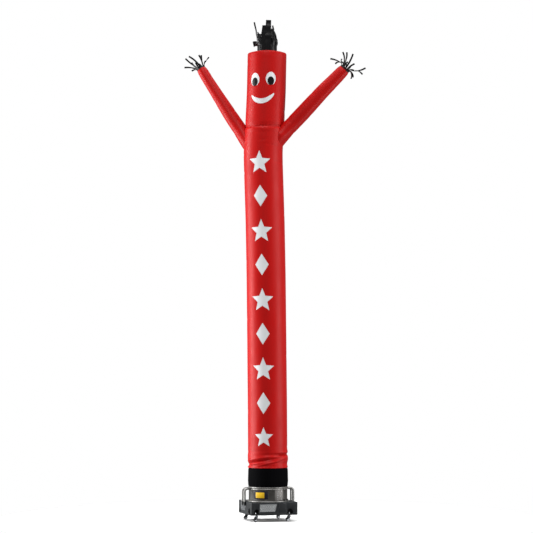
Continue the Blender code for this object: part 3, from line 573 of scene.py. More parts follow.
class Finishes:
    """Every finish on the part, built once."""

    def __init__(self) -> None:
        """Builds the materials."""
        # coated ripstop nylon: one even colour with a satin sheen, broken by fine creases
        self.red_nylon = CoatedNylon("red_coated_nylon", "#b40d0b", "#a80b09", "#8c0808").build()
        self.white_nylon = CoatedNylon(
            "white_nylon", "#dfe0e2", "#d2d4d7", "#b4b5b6", crumple_mm=0.4
        ).build()
        # a shinier black one, so that the strips' folds catch the light
        self.black_nylon = CoatedNylon(
            "black_coated_nylon", "#070708", "#0c0c0e", "#1e1e21", roughness=0.32, specular=0.22
        ).build()
        # woven webbing: dead black
        self.black_webbing = CoatedNylon(
            "black_cuff_webbing", "#050506", "#08080a", "#131316",
            roughness=0.80, specular=0.02, ripstop_mm=3.0,
        ).build()  # fmt: skip
        # hammered paint over rolled steel: dark grey, shallowly dimpled, with pale edges and beads
        # that are partly bare wear and partly painted highlight
        self.painted_steel = HardFinish(
            "grey_hammered_steel", "#3c3a37", "#bab6b0", 0.46,
            metallic=0.15, grain_mm=4.0, grain_depth_mm=0.15, wear=0.12, edge_mm=3.0, specular=0.35,
        ).build()  # fmt: skip
        # moulded ABS with a fine texture: dull, with greyer edges that are partly wear and partly
        # painted highlight
        self.moulded_abs = HardFinish(
            "moulded_grey_abs", "#242628", "#707276", 0.62,
            grain_mm=1.0, wear=0.08, edge_mm=3.0, specular=0.2,
        ).build()  # fmt: skip
        self.black_abs = HardFinish(
            "moulded_black_abs", "#0b0b0c", "#1a1a1c", 0.60, grain_mm=1.0
        ).build()
        # galvanised expanded steel: pale and matt; the side and back panels take a darker copy of
        # it as painted shade
        self.galvanised = HardFinish(
            "galvanised_mesh", "#b0b2b3", "#929496", 0.55, metallic=0.5
        ).build()
        self.shaded_mesh = HardFinish("dulled_mesh", "#6c6e70", "#515355", 0.62, metallic=0.3).build()
        # brushed stainless tube, its feet dipped in black plastic: long soft highlights
        self.brushed_steel = HardFinish(
            "brushed_stainless", "#9b9a98", "#7d7b78", 0.34,
            metallic=1.0, grain_mm=0.5, stretch=(1.0, 1.0, 0.05), dip_top=0.2235,
        ).build()  # fmt: skip
        # zinc plate, bright and black: small sharp highlights
        self.zinc_plate = HardFinish(
            "bright_zinc_plate", "#d4d6da", "#a7a9ad", 0.24, metallic=1.0
        ).build()
        self.dark_zinc = HardFinish(
            "black_zinc_plate", "#2e3034", "#6a6c70", 0.34, metallic=0.75
        ).build()
        # bare rolled steel: grey and faintly clouded, with a paler line along its edges, partly
        # wear and partly painted highlight
        self.bare_steel = HardFinish(
            "bare_rolled_steel", "#726f6c", "#979390", 0.52, metallic=0.5, grain_mm=1.5, edge_mm=1.5
        ).build()
        # moulded rubber: nearly black and matt, greyer where it is scuffed
        self.tyre_rubber = HardFinish(
            "tyre_rubber", "#1b1b1c", "#39383a", 0.62, grain_mm=0.9
        ).build()
        # printed vinyl: flat colour under a weak gloss
        # the navy one has a pale line along its edges, partly wear and partly painted highlight
        self.navy_vinyl = HardFinish(
            "navy_vinyl", "#0e1020", "#7f8289", 0.48,
            grain_mm=2.0, wear=0.05, edge_mm=2.5, specular=0.25,
        ).build()  # fmt: skip
        self.yellow_vinyl = HardFinish(
            "yellow_vinyl", "#dfb218", "#c2950f", 0.45, grain_mm=2.0, specular=0.3
        ).build()
        # moulded phenolic: black under a hard polish
        self.phenolic = HardFinish(
            "black_phenolic", "#101011", "#2c2c2e", 0.34, grain_mm=2.0, coat=0.4
        ).build()


# ---------------------------------------------------------------- the inflated tube
class Crease(NamedTuple):
    """A fold or bulge of the tube: its height, angle, reach round and up it, depth and slant.

    A pinched one comes to a line, a soft one is round.
    """

    z: float
    angle: float
    half_angle: float
    height: float
    depth: float
    slope: float = 0.0
    pinched: bool = False


@dataclass(frozen=True)
class TubeShape:
    """The outside of the body and the head: one swaying tube with its neck, hem and folds."""

    radius: float = 0.2284
    hem: float = 0.612
    neck: float = 4.572
    crown: float = 5.446
    sway_rows: tuple = (
        # height, sideways place of the middle
        (0.40, -0.002), (1.40, -0.007), (2.10, -0.014), (2.80, -0.023), (3.50, -0.036),
        (4.10, -0.054),
        (4.28, -0.058), (4.57, -0.040), (5.00, -0.020), (5.45, -0.011),
    )  # fmt: skip
    girth_rows: tuple = (
        # height, growth of the radius
        (0.612, 0.0035), (0.620, 0.0032), (0.630, 0.0008), (0.642, 0.0), (4.350, 0.0),
        (4.520, 0.0015),
        (4.552, -0.0010), (4.5650, -0.0060), (4.572, -0.0095), (4.579, -0.0062), (4.590, -0.0030),
        (4.625, 0.0), (5.425, 0.0), (5.438, -0.0010), (5.446, -0.0040),
    )  # fmt: skip
    folds: tuple = (
        # the solid's own folds near the hem
        Crease(0.766, 58, 48, 0.011, -0.009), Crease(0.722, 100, 42, 0.026, 0.010),
        Crease(0.690, 15, 75, 0.009, -0.007, 0.030), Crease(0.742, -70, 60, 0.022, 0.004),
        Crease(0.642, -80, 45, 0.008, -0.009), Crease(0.760, -160, 55, 0.012, -0.006, -0.020),
        # the lines where the slack cloth is pinched above the cuff, each with its roll beside it
        Crease(0.758, 68, 32, 0.012, -0.018, 0.015, True),
        Crease(0.790, 78, 36, 0.014, 0.007, 0.015),
        Crease(0.690, -18, 62, 0.011, -0.018, 0.050, True),
        Crease(0.668, -22, 60, 0.010, 0.009, 0.050),
        Crease(0.716, -30, 60, 0.012, 0.006, 0.050), Crease(0.680, 27, 40, 0.008, 0.008, 0.084),
        Crease(0.656, 20, 36, 0.008, -0.006, 0.084, True), Crease(0.640, -84, 40, 0.012, -0.007),
        Crease(0.740, 30, 40, 0.010, 0.003, 0.020), Crease(0.655, 84, 30, 0.008, -0.006, 0.0, True),
        Crease(0.700, 150, 44, 0.008, -0.008, -0.060, True),
        Crease(0.760, -130, 44, 0.010, -0.007, 0.050, True),
        Crease(0.668, -160, 40, 0.008, -0.006, 0.030, True),
        # the rolled neck seam
        Crease(4.584, 10, 150, 0.008, -0.006, 0.0, True), Crease(4.556, 0, 90, 0.010, 0.004),
        # softer ones, from the hem up to the neck
        Crease(0.668, 62, 34, 0.007, -0.0035, 0.010), Crease(0.655, 20, 40, 0.007, 0.0025, 0.015),
        Crease(0.802, -30, 40, 0.012, -0.0020, 0.020),
        Crease(0.845, 120, 60, 0.014, -0.0022, -0.015),
        Crease(1.262, -70, 34, 0.014, -0.0020, 0.030),
        Crease(1.905, 80, 38, 0.016, -0.0022, -0.030),
        Crease(2.330, -84, 30, 0.014, -0.0018, 0.020),
        Crease(3.005, -62, 30, 0.015, -0.0020, 0.040),
        Crease(3.570, 84, 34, 0.014, -0.0022, -0.020),
        Crease(4.040, -78, 40, 0.013, -0.0028, 0.020),
        Crease(4.158, 66, 36, 0.012, -0.0026, -0.030),
        Crease(4.250, -95, 34, 0.010, -0.0030, 0.020),
        Crease(4.412, 2, 22, 0.014, -0.0018), Crease(4.392, 10, 20, 0.014, 0.0012),
        Crease(4.352, 40, 24, 0.010, -0.0026, -0.060), Crease(4.505, -20, 50, 0.016, -0.0012),
        Crease(4.534, 18, 70, 0.012, 0.0030), Crease(4.545, 160, 60, 0.010, -0.0030),
        Crease(4.604, -10, 60, 0.009, -0.0024), Crease(4.640, 150, 60, 0.012, -0.0020),
        Crease(4.760, 96, 34, 0.016, -0.0024, -0.050), Crease(5.395, 30, 60, 0.012, 0.0010),
        Crease(5.330, -70, 34, 0.012, -0.0016, 0.030),
    )  # fmt: skip
    gathers: tuple = (
        # height of a gathered seam, reach, puckers round the tube, depth
        (0.612, 0.020, 31, 0.0016), (4.572, 0.022, 37, 0.0022), (5.446, 0.020, 43, 0.0012),
    )  # fmt: skip

    def sway(self, z: Array) -> Array:
        """Sideways place of the middle line, rounded between the table's rows.

        Args:
            z: Heights.

        Returns:
            One place for each height.
        """
        rows = np.array(self.sway_rows)
        steps = (-0.05, -0.025, 0.0, 0.025, 0.05)
        return np.mean([np.interp(z + step, rows[:, 0], rows[:, 1]) for step in steps], axis=0)

    def reach(self, angle: Array, z: Array) -> Array:
        """Radius of the cloth, with its folds and gathers.

        Args:
            angle: Angles from the face, in radians.
            z: Heights.

        Returns:
            One radius for each angle and height.
        """
        rows = np.array(self.girth_rows)
        out = self.radius + np.interp(z, rows[:, 0], rows[:, 1])
        degrees = np.degrees(angle)
        for fold in self.folds:
            away = (degrees - fold.angle + 180.0) % 360.0 - 180.0
            middle = fold.z + fold.slope * away / 90.0
            off = (z - middle) / fold.height
            across = np.exp(-np.abs(off)) if fold.pinched else np.exp(-0.5 * off**2)
            out += fold.depth * across * bell(away, fold.half_angle)
        for seam_z, reach, count, depth in self.gathers:
            uneven = 0.6 + 0.4 * np.sin(5 * angle + 1.3)
            waves = np.sin(count * angle + 2.0 * np.sin(3 * angle)) * uneven
            out += depth * waves * bell(z - seam_z, reach)
        # slack of the cloth between its seams: never quite round
        out += 0.0007 * np.sin(5 * angle + 1.7 * z) + 0.0005 * np.sin(9 * angle - 2.9 * z + 0.8)
        return out

    def place(self, angle: Array, z: Array, stand_off: float = 0.0) -> Array:
        """Places on the cloth, or stand_off outside it, in the frame."""
        out = self.reach(angle, z) + stand_off
        return from_dancer(around(angle, out, z, self.sway(z)))


def uneven_rows(spans: Sequence[tuple[float, float, int]]) -> Array:
    """Heights of a grid's rows, close together where the cloth has folds.

    Args:
        spans: Bottom, top and number of rows of each span, from below.

    Returns:
        The heights, from below.
    """
    rows = [np.linspace(low, high, count, endpoint=False) for low, high, count in spans]
    return np.concatenate([*rows, [spans[-1][1]]])


@dataclass
class Tube:
    """The red cloth tube: body, head and top panel."""

    shape: TubeShape
    finishes: Finishes
    columns: int = 144
    crown_base: float = 5.4478
    crown_rise: float = 0.022
    crown_radius: float = 0.2222
    vent: float = 0.112
    # bottom, top and number of rows of each span, closer together at the folds and seams
    body_spans: tuple = ((0.612, 0.90, 72), (0.90, 3.95, 100), (3.95, 4.5712, 84))
    head_spans: tuple = ((4.5722, 4.68, 30), (4.68, 5.36, 56), (5.36, 5.446, 22))
    body_cut: float = 3.97  # flat height of the cloth
    head_cut: float = 0.88
    crown_cut: float = 0.46
    crown_cut_radius: float = 0.2286

    def wall(
        self, name: str, spans: Sequence[tuple[float, float, int]], seams: Sequence[float]
    ) -> Object:
        """A stretch of the tube between two rings.

        Args:
            name: The piece's name.
            spans: Where its rows lie.
            seams: Heights of its sewn edges.

        Returns:
            The piece.
        """
        rows = uneven_rows(spans)

        def lay(u: Array, v: Array) -> Laid:
            """Rows and columns of the wall.

            Args:
                u: Shares of the way round, from 0 to 1.
                v: Shares of the way up.

            Returns:
                Where they lie.
            """
            angle = u * FULL_TURN + math.pi  # the closing seam runs up the back
            z = np.interp(v * (len(rows) - 1), np.arange(len(rows)), rows)
            cloth = np.stack([u * FULL_TURN * self.shape.radius, z], axis=1)
            near = np.min([np.abs(z - seam) for seam in seams], axis=0)
            side = np.minimum(u, 1 - u) * FULL_TURN * self.shape.radius
            along = np.where(side < near, z, cloth[:, 0])
            seam = np.stack([along, np.minimum(near, side)], axis=1)
            return Laid(self.shape.place(angle, z), cloth, seam)

        return lay_grid(name, self.columns, len(rows) - 1, lay)

    def crown(self) -> Object:
        """Lays the domed top panel with its round vent.

        Returns:
            The piece.
        """

        def lay(u: Array, v: Array) -> Laid:
            """Rings of the crown, from its edge to its vent.

            Args:
                u: Shares of the way round.
                v: Shares of the way in.

            Returns:
                Where they lie.
            """
            angle = u * FULL_TURN
            radius = self.crown_radius + (self.vent - self.crown_radius) * v
            rise = self.crown_rise * (1 - (1 - v) ** 1.7)
            outer_pucker = 0.0009 * np.sin(29 * angle) * bell(v, 0.35)
            inner_pucker = 0.0010 * np.sin(17 * angle + 1) * bell(1 - v, 0.3)
            z = self.crown_base + rise + (outer_pucker + inner_pucker) * np.clip(v * 6, 0, 1)
            points = around(angle, radius, z, self.shape.sway(np.full_like(u, self.shape.crown)))
            cloth = np.stack([radius * np.sin(angle), radius * np.cos(angle)], axis=1)
            edge = np.minimum(self.crown_radius - radius, radius - self.vent)
            return Laid(from_dancer(points), cloth, np.stack([angle * radius, edge], axis=1))

        return lay_grid("crown_cloth", self.columns, 22, lay)

    def build(self, fittings: dict[str, list[Object]]) -> None:
        """Args:
            fittings: The pieces sewn on the body, the head and the crown; not used.
        """
        shape, girth = self.shape, FULL_TURN * self.shape.radius
        body = self.wall("body_cloth", self.body_spans, (shape.hem, shape.neck))
        head = self.wall("head_cloth", self.head_spans, (shape.neck, shape.crown))
        square = (self.crown_cut, self.crown_cut)
        ring = math.pi * (self.crown_cut_radius**2 - self.vent**2)
        for piece, node, flat, area, rests_on in (
            (body, "body_tube", (girth, self.body_cut), None, "cuff_cloth"),
            (head, "head_tube", (girth, self.head_cut), None, "body_cloth"),
            (self.crown(), "crown_panel", square, ring, "head_cloth"),
        ):
            fit(piece, self.finishes.red_nylon, node=node)


# ---------------------------------------------------------------- patches sewn on the tube
class Outline:
    """A flat patch's outline about its own middle, read by share of its run."""

    def __init__(self, corners: Sequence[tuple[float, float]], columns: int) -> None:
        """Closes the outline.

        Args:
            corners: Its corners, in order.
            columns: The grid's faces round it.
        """
        closed = np.array([*corners, corners[0]])
        self.corners = closed
        self.lengths = np.hypot(*np.diff(closed, axis=0).T)
        self.runs = np.concatenate([[0.0], np.cumsum(self.lengths)])
        self.columns = columns

    def at(self, share: Array) -> tuple[Array, Array, Array]:
        """Reads the outline at shares of its run from corner to corner.

        Args:
            share: From 0 to 1.

        Returns:
            Places, runs, and the edge's distance from the middle.
        """
        numbers = np.arange(len(self.corners))
        place = share * (len(self.corners) - 1)
        x, y = (np.interp(place, numbers, values) for values in self.corners.T)
        run = np.interp(place, numbers, self.runs)
        side = np.clip(place.astype(int), 0, len(self.lengths) - 1)
        a, b = self.corners[side], self.corners[side + 1]
        from_middle = np.abs(a[:, 0] * b[:, 1] - a[:, 1] * b[:, 0]) / self.lengths[side]
        return np.stack([x, y], axis=1), run, from_middle


def star_corners(half: float, inner: float = 0.45, points: int = 5) -> list[tuple[float, float]]:
    """Corners of an upright star whose tips touch its own box.

    Args:
        half: Half its width and height.
        inner: The notches' reach as a share of the tips'.
        points: How many tips.

    Returns:
        The corners, from the top one.
    """
    turns = [math.pi * k / points for k in range(2 * points)]
    reach = [inner if k % 2 else 1 for k in range(2 * points)]
    shape = [(math.sin(turn) * far, math.cos(turn) * far) for turn, far in zip(turns, reach)]
    wide = max(x for x, _ in shape)
    low, high = min(y for _, y in shape), max(y for _, y in shape)
    return [(x / wide * half, ((y - low) / (high - low) * 2 - 1) * half) for x, y in shape]


def oval_corners(
    half_width: float, half_height: float, egg: float = 0.0, count: int = 48
) -> list[tuple[float, float]]:
    """Corners of an oval, wider below its middle where egg is above 0.

    Args:
        half_width: Half its width.
        half_height: Half its height.
        egg: How much wider it is below.
        count: How many corners.

    Returns:
        The corners, from the top one.
    """
    turns = [FULL_TURN * k / count for k in range(count)]
    return [
        (half_width * math.sin(turn) * (1 - egg * math.cos(turn)), half_height * math.cos(turn))
        for turn in turns
    ]


class MotifKind(Enum):
    """The cut of a patch."""

    STAR = "star"
    LOZENGE = "lozenge"


class Motif(NamedTuple):
    """A patch: node, kind, height of its middle, half width and half height."""

    node: str
    kind: MotifKind
    z: float
    half_width: float
    half_height: float


@dataclass
class Patches:
    """The stars and lozenges down the front, the eyes and the mouth, each a patch of cloth."""

    shape: TubeShape
    finishes: Finishes
    thickness: float = 0.0010
    rings: int = 12  # of faces, from a patch's middle to its edge
    motifs: tuple = (
        Motif("star_1", MotifKind.STAR, 4.160, 0.128, 0.128),
        Motif("lozenge_1", MotifKind.LOZENGE, 3.760, 0.080, 0.125),
        Motif("star_2", MotifKind.STAR, 3.360, 0.128, 0.128),
        Motif("lozenge_2", MotifKind.LOZENGE, 2.960, 0.080, 0.125),
        Motif("star_3", MotifKind.STAR, 2.560, 0.128, 0.128),
        Motif("lozenge_3", MotifKind.LOZENGE, 2.160, 0.080, 0.125),
        Motif("star_4", MotifKind.STAR, 1.760, 0.128, 0.128),
        Motif("lozenge_4", MotifKind.LOZENGE, 1.360, 0.080, 0.125),
        Motif("star_5", MotifKind.STAR, 0.975, 0.110, 0.110),
    )
    eye_angle: float = 24.6
    eye_z: float = 5.119
    right_eye_up: float = 0.007
    eye_half: tuple = (0.060, 0.0765)
    pupil_half: tuple = (0.040, 0.050)
    pupil_drop: float = 0.028
    mouth_z: float = 4.938
    mouth_half: tuple = (0.142, 0.029)
    mouth_sag: float = 0.075
    mouth_tilt: float = 0.060

    def patch(
        self, node: str, outline: Outline, z: float, angle_deg: float = 0.0, layer: int = 0
    ) -> Object:
        """A patch laid on the tube, in rings about its own middle.

        Args:
            node: The CAD node that it stands for.
            outline: Its flat outline.
            z: Height of its middle.
            angle_deg: Its middle's angle from the face.
            layer: How many patches lie under it.

        Returns:
            The piece.
        """
        lift = LIFT + layer * (self.thickness + LIFT / 2)

        def lay(u: Array, v: Array) -> Laid:
            """Rings of the patch, from its middle to its edge.

            Args:
                u: Shares of the way round.
                v: Shares of the way out.

            Returns:
                Where they lie.
            """
            edge, run, far = outline.at(1 - u)
            flat = edge * v[:, None]
            angle = math.radians(angle_deg) + flat[:, 0] / self.shape.radius
            points = self.shape.place(angle, z + flat[:, 1], lift)
            cloth = flat + np.array([math.radians(angle_deg) * self.shape.radius, z])
            return Laid(points, cloth, np.stack([run, (1 - v) * far], axis=1))

        name = node + "_cloth"
        return lay_grid(name, outline.columns, self.rings, lay, self.thickness, outward=True)

    def mouth(self) -> Object:
        """Lays the mouth: a sagging band that thins to round ends.

        Returns:
            The piece.
        """
        half_width, half_height = self.mouth_half

        def lay(u: Array, v: Array) -> Laid:
            """The mouth, from corner to corner.

            Args:
                u: Shares of the way across.
                v: Shares of the way up.

            Returns:
                Where they lie.
            """
            turn = (u - 0.5) * math.pi
            share = np.sin(turn)
            reach = half_height * np.clip(1 - share**4, 0, 1) ** 0.4
            x, up = half_width * share, (2 * v - 1) * reach
            height = self.mouth_z - self.mouth_sag * (1 - share**2) + self.mouth_tilt * x + up
            points = self.shape.place(x / self.shape.radius, height, LIFT)
            edge = np.minimum(reach - np.abs(up), half_width - np.abs(x))
            return Laid(points, np.stack([x, height], axis=1), np.stack([x, edge], axis=1))

        return lay_grid("mouth_cloth", 64, 10, lay, self.thickness, outward=True)

    def build(self) -> dict[str, list[Object]]:
        """Makes every patch.

        Returns:
            Those on the body and those on the head, by node.
        """
        sewn: dict[str, list[Object]] = {"body_tube": [], "head_tube": []}
        for motif in self.motifs:
            if motif.kind is MotifKind.STAR:
                outline = Outline(star_corners(motif.half_width), 160)
            else:
                wide, tall = motif.half_width, motif.half_height
                outline = Outline([(0.0, tall), (wide, 0.0), (0.0, -tall), (-wide, 0.0)], 96)
            piece = self.patch(motif.node, outline, motif.z)
            sewn["body_tube"].append(self.finish(piece, motif.node))
        for side, sign in (("left", -1), ("right", 1)):
            angle = sign * self.eye_angle
            middle = self.eye_z + (self.right_eye_up if side == "right" else 0.0)
            white = Outline(oval_corners(*self.eye_half, egg=0.06), 96)
            black = Outline(oval_corners(*self.pupil_half), 96)
            eye = self.patch(f"eye_{side}", white, middle, angle)
            pupil = self.patch(f"pupil_{side}", black, middle - self.pupil_drop, angle, layer=1)
            sewn["head_tube"].append(self.finish(eye, f"eye_{side}"))
            sewn["head_tube"].append(self.finish(pupil, f"pupil_{side}", black=True))
        sewn["head_tube"].append(self.finish(self.mouth(), "mouth"))
        return sewn

    def finish(self, piece: Object, node: str, black: bool = False) -> Object:
        """Dresses a patch and lets it stand for its node.

        Args:
            piece: The patch.
            node: The node that it stands for.
            black: Whether it is black and not white.

        Returns:
            The same piece.
        """
        if black:
            return fit(piece, self.finishes.black_nylon, node=node)
        return fit(piece, self.finishes.white_nylon, node=node)


# ---------------------------------------------------------------- arms
@dataclass
class Arm:
    """A cloth arm: a tapering tube sewn to the body's side, closed at the hand."""

    side: str
    shape: TubeShape
    finishes: Finishes
    stations: tuple  # sideways place, height and radius of each ring
    creases: tuple  # place along, angle, reach along, half angle and depth of each fold
    flare_from: float  # where along the stations it starts to widen towards the body
    flare: float = 0.42
    step: float = 0.15  # metres from one station to the next
    mean_radius: float = 0.085
    sunk: float = 0.0012  # how far the seam lies under the body's cloth
    columns: int = 72
    rows: int = 130

    def rings(self, place: Array, turn: Array) -> Array:
        """Places on the arm in the dancer's own frame.

        Args:
            place: Where along the table of stations.
            turn: Angle round the arm from its back, in radians.

        Returns:
            The places.
        """
        table = np.array(self.stations)
        here = catmull(table, place)
        ahead = heading_along(table, place)
        length = np.hypot(ahead[:, 0], ahead[:, 1])
        ax, az = ahead[:, 0] / length, ahead[:, 1] / length
        radius = here[:, 2] * 0.995
        for along, angle, reach, half, depth in self.creases:
            away = (np.degrees(turn) - angle + 180.0) % 360.0 - 180.0
            radius = radius + depth * bell(place - along, reach) * bell(away, half)
        radius = radius + 0.0006 * np.sin(4 * turn + 2.1 * place)
        across = radius * np.sin(turn)
        flare = 1 + self.flare * np.clip((self.flare_from - place) / 1.9, 0, 1) ** 2
        deep = radius * np.cos(turn) * flare
        return np.stack([here[:, 0] + across * az, deep, here[:, 1] - across * ax], axis=1)

    def first_places(self, turns: Array) -> Array:
        """Finds where each line of the arm comes out of the body's cloth.

        Args:
            turns: Angle of each line, in radians.

        Returns:
            A place along the stations for each line.
        """
        low, high = np.zeros_like(turns), np.full_like(turns, 3.2)
        for _ in range(26):
            middle = (low + high) / 2
            points = self.rings(middle, turns)
            x = points[:, 0] - self.shape.sway(points[:, 2])
            angle = np.arctan2(x, -points[:, 1])
            inside = np.hypot(x, points[:, 1]) < self.shape.reach(angle, points[:, 2]) - self.sunk
            low, high = np.where(inside, middle, low), np.where(inside, high, middle)
        return low

    def cloth(self) -> Object:
        """Lays the arm's sheet, from its seam on the body to its gathered end.

        Returns:
            The piece.
        """
        columns = np.linspace(0, 1, self.columns + 1)
        starts = self.first_places(-columns * FULL_TURN)
        last = len(self.stations) - 1

        def lay(u: Array, v: Array) -> Laid:
            """Rings of the arm, from its seam to its end.

            Args:
                u: Shares of the way round.
                v: Shares of the way along.

            Returns:
                Where they lie.
            """
            turn = -u * FULL_TURN
            first = np.interp(u, columns, starts)
            place = first + (last - first) * (0.35 * v + 0.65 * (1 - (1 - v) ** 1.15))
            points = self.rings(place, turn)
            far = (place - first) * self.step
            pucker = 1 + 0.012 * np.sin(19 * turn + 1.5 * np.sin(2 * turn)) * bell(far, 0.018)
            middle = catmull(np.array(self.stations), place)
            centre = np.stack([middle[:, 0], np.zeros_like(place), middle[:, 1]], axis=1)
            points = centre + (points - centre) * pucker[:, None]
            cloth = np.stack([u * FULL_TURN * self.mean_radius, place * self.step], axis=1)
            return Laid(from_dancer(points), cloth, np.stack([cloth[:, 0], far], axis=1))

        return lay_grid(f"arm_{self.side}_cloth", self.columns, self.rows, lay)

    def build(self, tassel: Object) -> None:
        """Makes the arm's sheet and dresses it.

        Args:
            tassel: The tassel on its hand; not used.
        """
        piece = fit(self.cloth(), self.finishes.red_nylon, node=f"arm_{self.side}")


# ---------------------------------------------------------------- strips of hair and tassels
class Strip(NamedTuple):
    """A strip of cloth: places along it, the side it is wide to at each, width and narrowing."""

    points: Array
    sides: Array
    width: float
    narrow: float


def turned_by(vector: Array, axis: Array, degrees: float) -> Array:
    """A vector turned about an axis."""
    return np.array(Matrix.Rotation(math.radians(degrees), 3, Vector(axis)) @ Vector(vector))


def lay_strip(name: str, strip: Strip, thickness: float, rows: int = 18) -> Object:
    """Lays one strip with a slight crown across it and a straight cut end.

    Args:
        name: The piece's name.
        strip: Where it goes.
        thickness: The cloth's thickness.
        rows: Faces along it.

    Returns:
        The piece.
    """
    last = len(strip.points) - 1

    def lay(u: Array, v: Array) -> Laid:
        """Across and along the strip.

        Args:
            u: Shares of the way across.
            v: Shares of the way along.

        Returns:
            Where they lie.
        """
        middle = catmull(strip.points, v * last)
        side = unit(catmull(strip.sides, v * last))
        out = np.cross(side, unit(heading_along(strip.points, v * last)))
        width = strip.width * (1 - (1 - strip.narrow) * v)
        crown = 0.10 * width * (0.25 - (u - 0.5) ** 2)
        points = middle + side * ((u - 0.5) * width)[:, None] + out * crown[:, None]
        run = float(np.linalg.norm(np.diff(strip.points, axis=0), axis=1).sum())
        cloth = np.stack([(u - 0.5) * width, v * run], axis=1)
        edge = np.minimum((0.5 - np.abs(u - 0.5)) * width, (1 - v) * run)
        return Laid(from_dancer(points), cloth, np.stack([cloth[:, 1], edge + 0.02], axis=1))

    return lay_grid(name, 3, rows, lay, thickness)


class TasselStrip(NamedTuple):
    """A strip at a hand: its slot round the band, its length and the ways that it runs.

    It starts one way and ends another in the arms' plane, and leans out of that plane by the depth.
    """

    slot: float
    length: float
    root_deg: float
    tip_deg: float
    depth_deg: float


@dataclass
class Tassel:
    """The black strips at a hand, sewn round the arm's end under a narrow band."""

    side: str
    finishes: Finishes
    shoulder: tuple  # sideways place, height and radius of the ring that carries the band
    tip: tuple
    strips: tuple
    slots: int = 16
    width: float = 0.0215
    band_width: float = 0.014
    root_share: float = 0.32  # of a strip's length that bends out of the band
    twist: float = 0.8  # how far the strips turn their wide side to the front

    def middle(self) -> Array:
        """The middle of the ring that carries the band."""
        return np.array([self.shoulder[0], 0.0, self.shoulder[1]])

    def along(self) -> Array:
        """The way that the arm's end points."""
        along = np.array([self.tip[0] - self.shoulder[0], 0.0, self.tip[1] - self.shoulder[1]])
        return along / np.linalg.norm(along)

    def route(self, strip: TasselStrip) -> Strip:
        """Lays out the strip's middle line and its wide side.

        Args:
            strip: The strip.

        Returns:
            Its route.
        """
        along = self.along()
        start = np.array([0.0, 1.0, 0.0])
        side = np.cross(along, start)
        turn = FULL_TURN * (strip.slot + 0.5) / self.slots
        outward = start * math.cos(turn) + side * math.sin(turn)
        wide = np.cross(along, outward)
        root, tip = math.radians(strip.root_deg), strip.tip_deg
        first = np.array([math.cos(root), -math.sin(math.radians(strip.depth_deg)), math.sin(root)])
        axis = np.cross(along, first)
        bend = math.degrees(Vector(along).angle(Vector(first)))
        axis /= np.linalg.norm(axis)
        point = self.middle() + along * 0.008 + outward * (self.shoulder[2] + 0.002)
        points, sides, heading = [point - along * 0.010, point], [wide, wide], along
        for _ in range(2):
            heading, wide = turned_by(heading, axis, bend / 2), turned_by(wide, axis, bend / 2)
            point = point + heading * strip.length * self.root_share / 2
            points.append(point)
            sides.append(wide)
        for k in range(3):
            step = (strip.root_deg - tip) / 3
            heading, wide = turned_by(heading, (0, 1, 0), step), turned_by(wide, (0, 1, 0), step)
            point = point + heading * strip.length * (1 - self.root_share) / 3
            points.append(point)
            front = np.cross(heading, (0.0, 1.0, 0.0))
            front *= self.twist * (k + 1) / 3 * (1 if front @ wide >= 0 else -1)
            sides.append(wide * (1 - self.twist * (k + 1) / 3) + front)
        return Strip(np.array(points), np.array(sides), self.width, 0.9)

    def band(self) -> Object:
        """Lays the narrow band that the strips are sewn into.

        Returns:
            The piece.
        """
        along = self.along()
        side = np.cross(along, (0.0, 1.0, 0.0))

        def lay(u: Array, v: Array) -> Laid:
            """Round and up the band.

            Args:
                u: Shares of the way round.
                v: Shares of the way up.

            Returns:
                Where they lie.
            """
            turn = -u * FULL_TURN
            bulge = 0.0022 * np.sin(math.pi * v) + 0.0006 * np.sin(13 * turn)
            radius = self.shoulder[2] + 0.0012 + bulge
            ring = np.outer(np.cos(turn), (0, 1, 0)) + np.outer(np.sin(turn), -side)
            out = v * self.band_width - 0.004
            points = self.middle() + ring * radius[:, None] + np.outer(out, along)
            cloth = np.stack([u * 0.3, v * self.band_width], axis=1)
            seam = np.stack([cloth[:, 0], np.full_like(u, self.band_width / 2)], axis=1)
            return Laid(from_dancer(points), cloth, seam)

        return lay_grid(f"band_{self.side}", 48, 5, lay, 0.0012)

    def build(self) -> Object:
        """Makes the band and its strips as one piece.

        Returns:
            The piece.
        """
        parts = [self.band()]
        for k, strip in enumerate(self.strips):
            parts.append(lay_strip(f"strip_{self.side}_{k}", self.route(strip), 0.0009))
        piece = join(parts, f"tassel_{self.side}")
        return fit(piece, self.finishes.black_nylon, node=f"fringe_{self.side}")


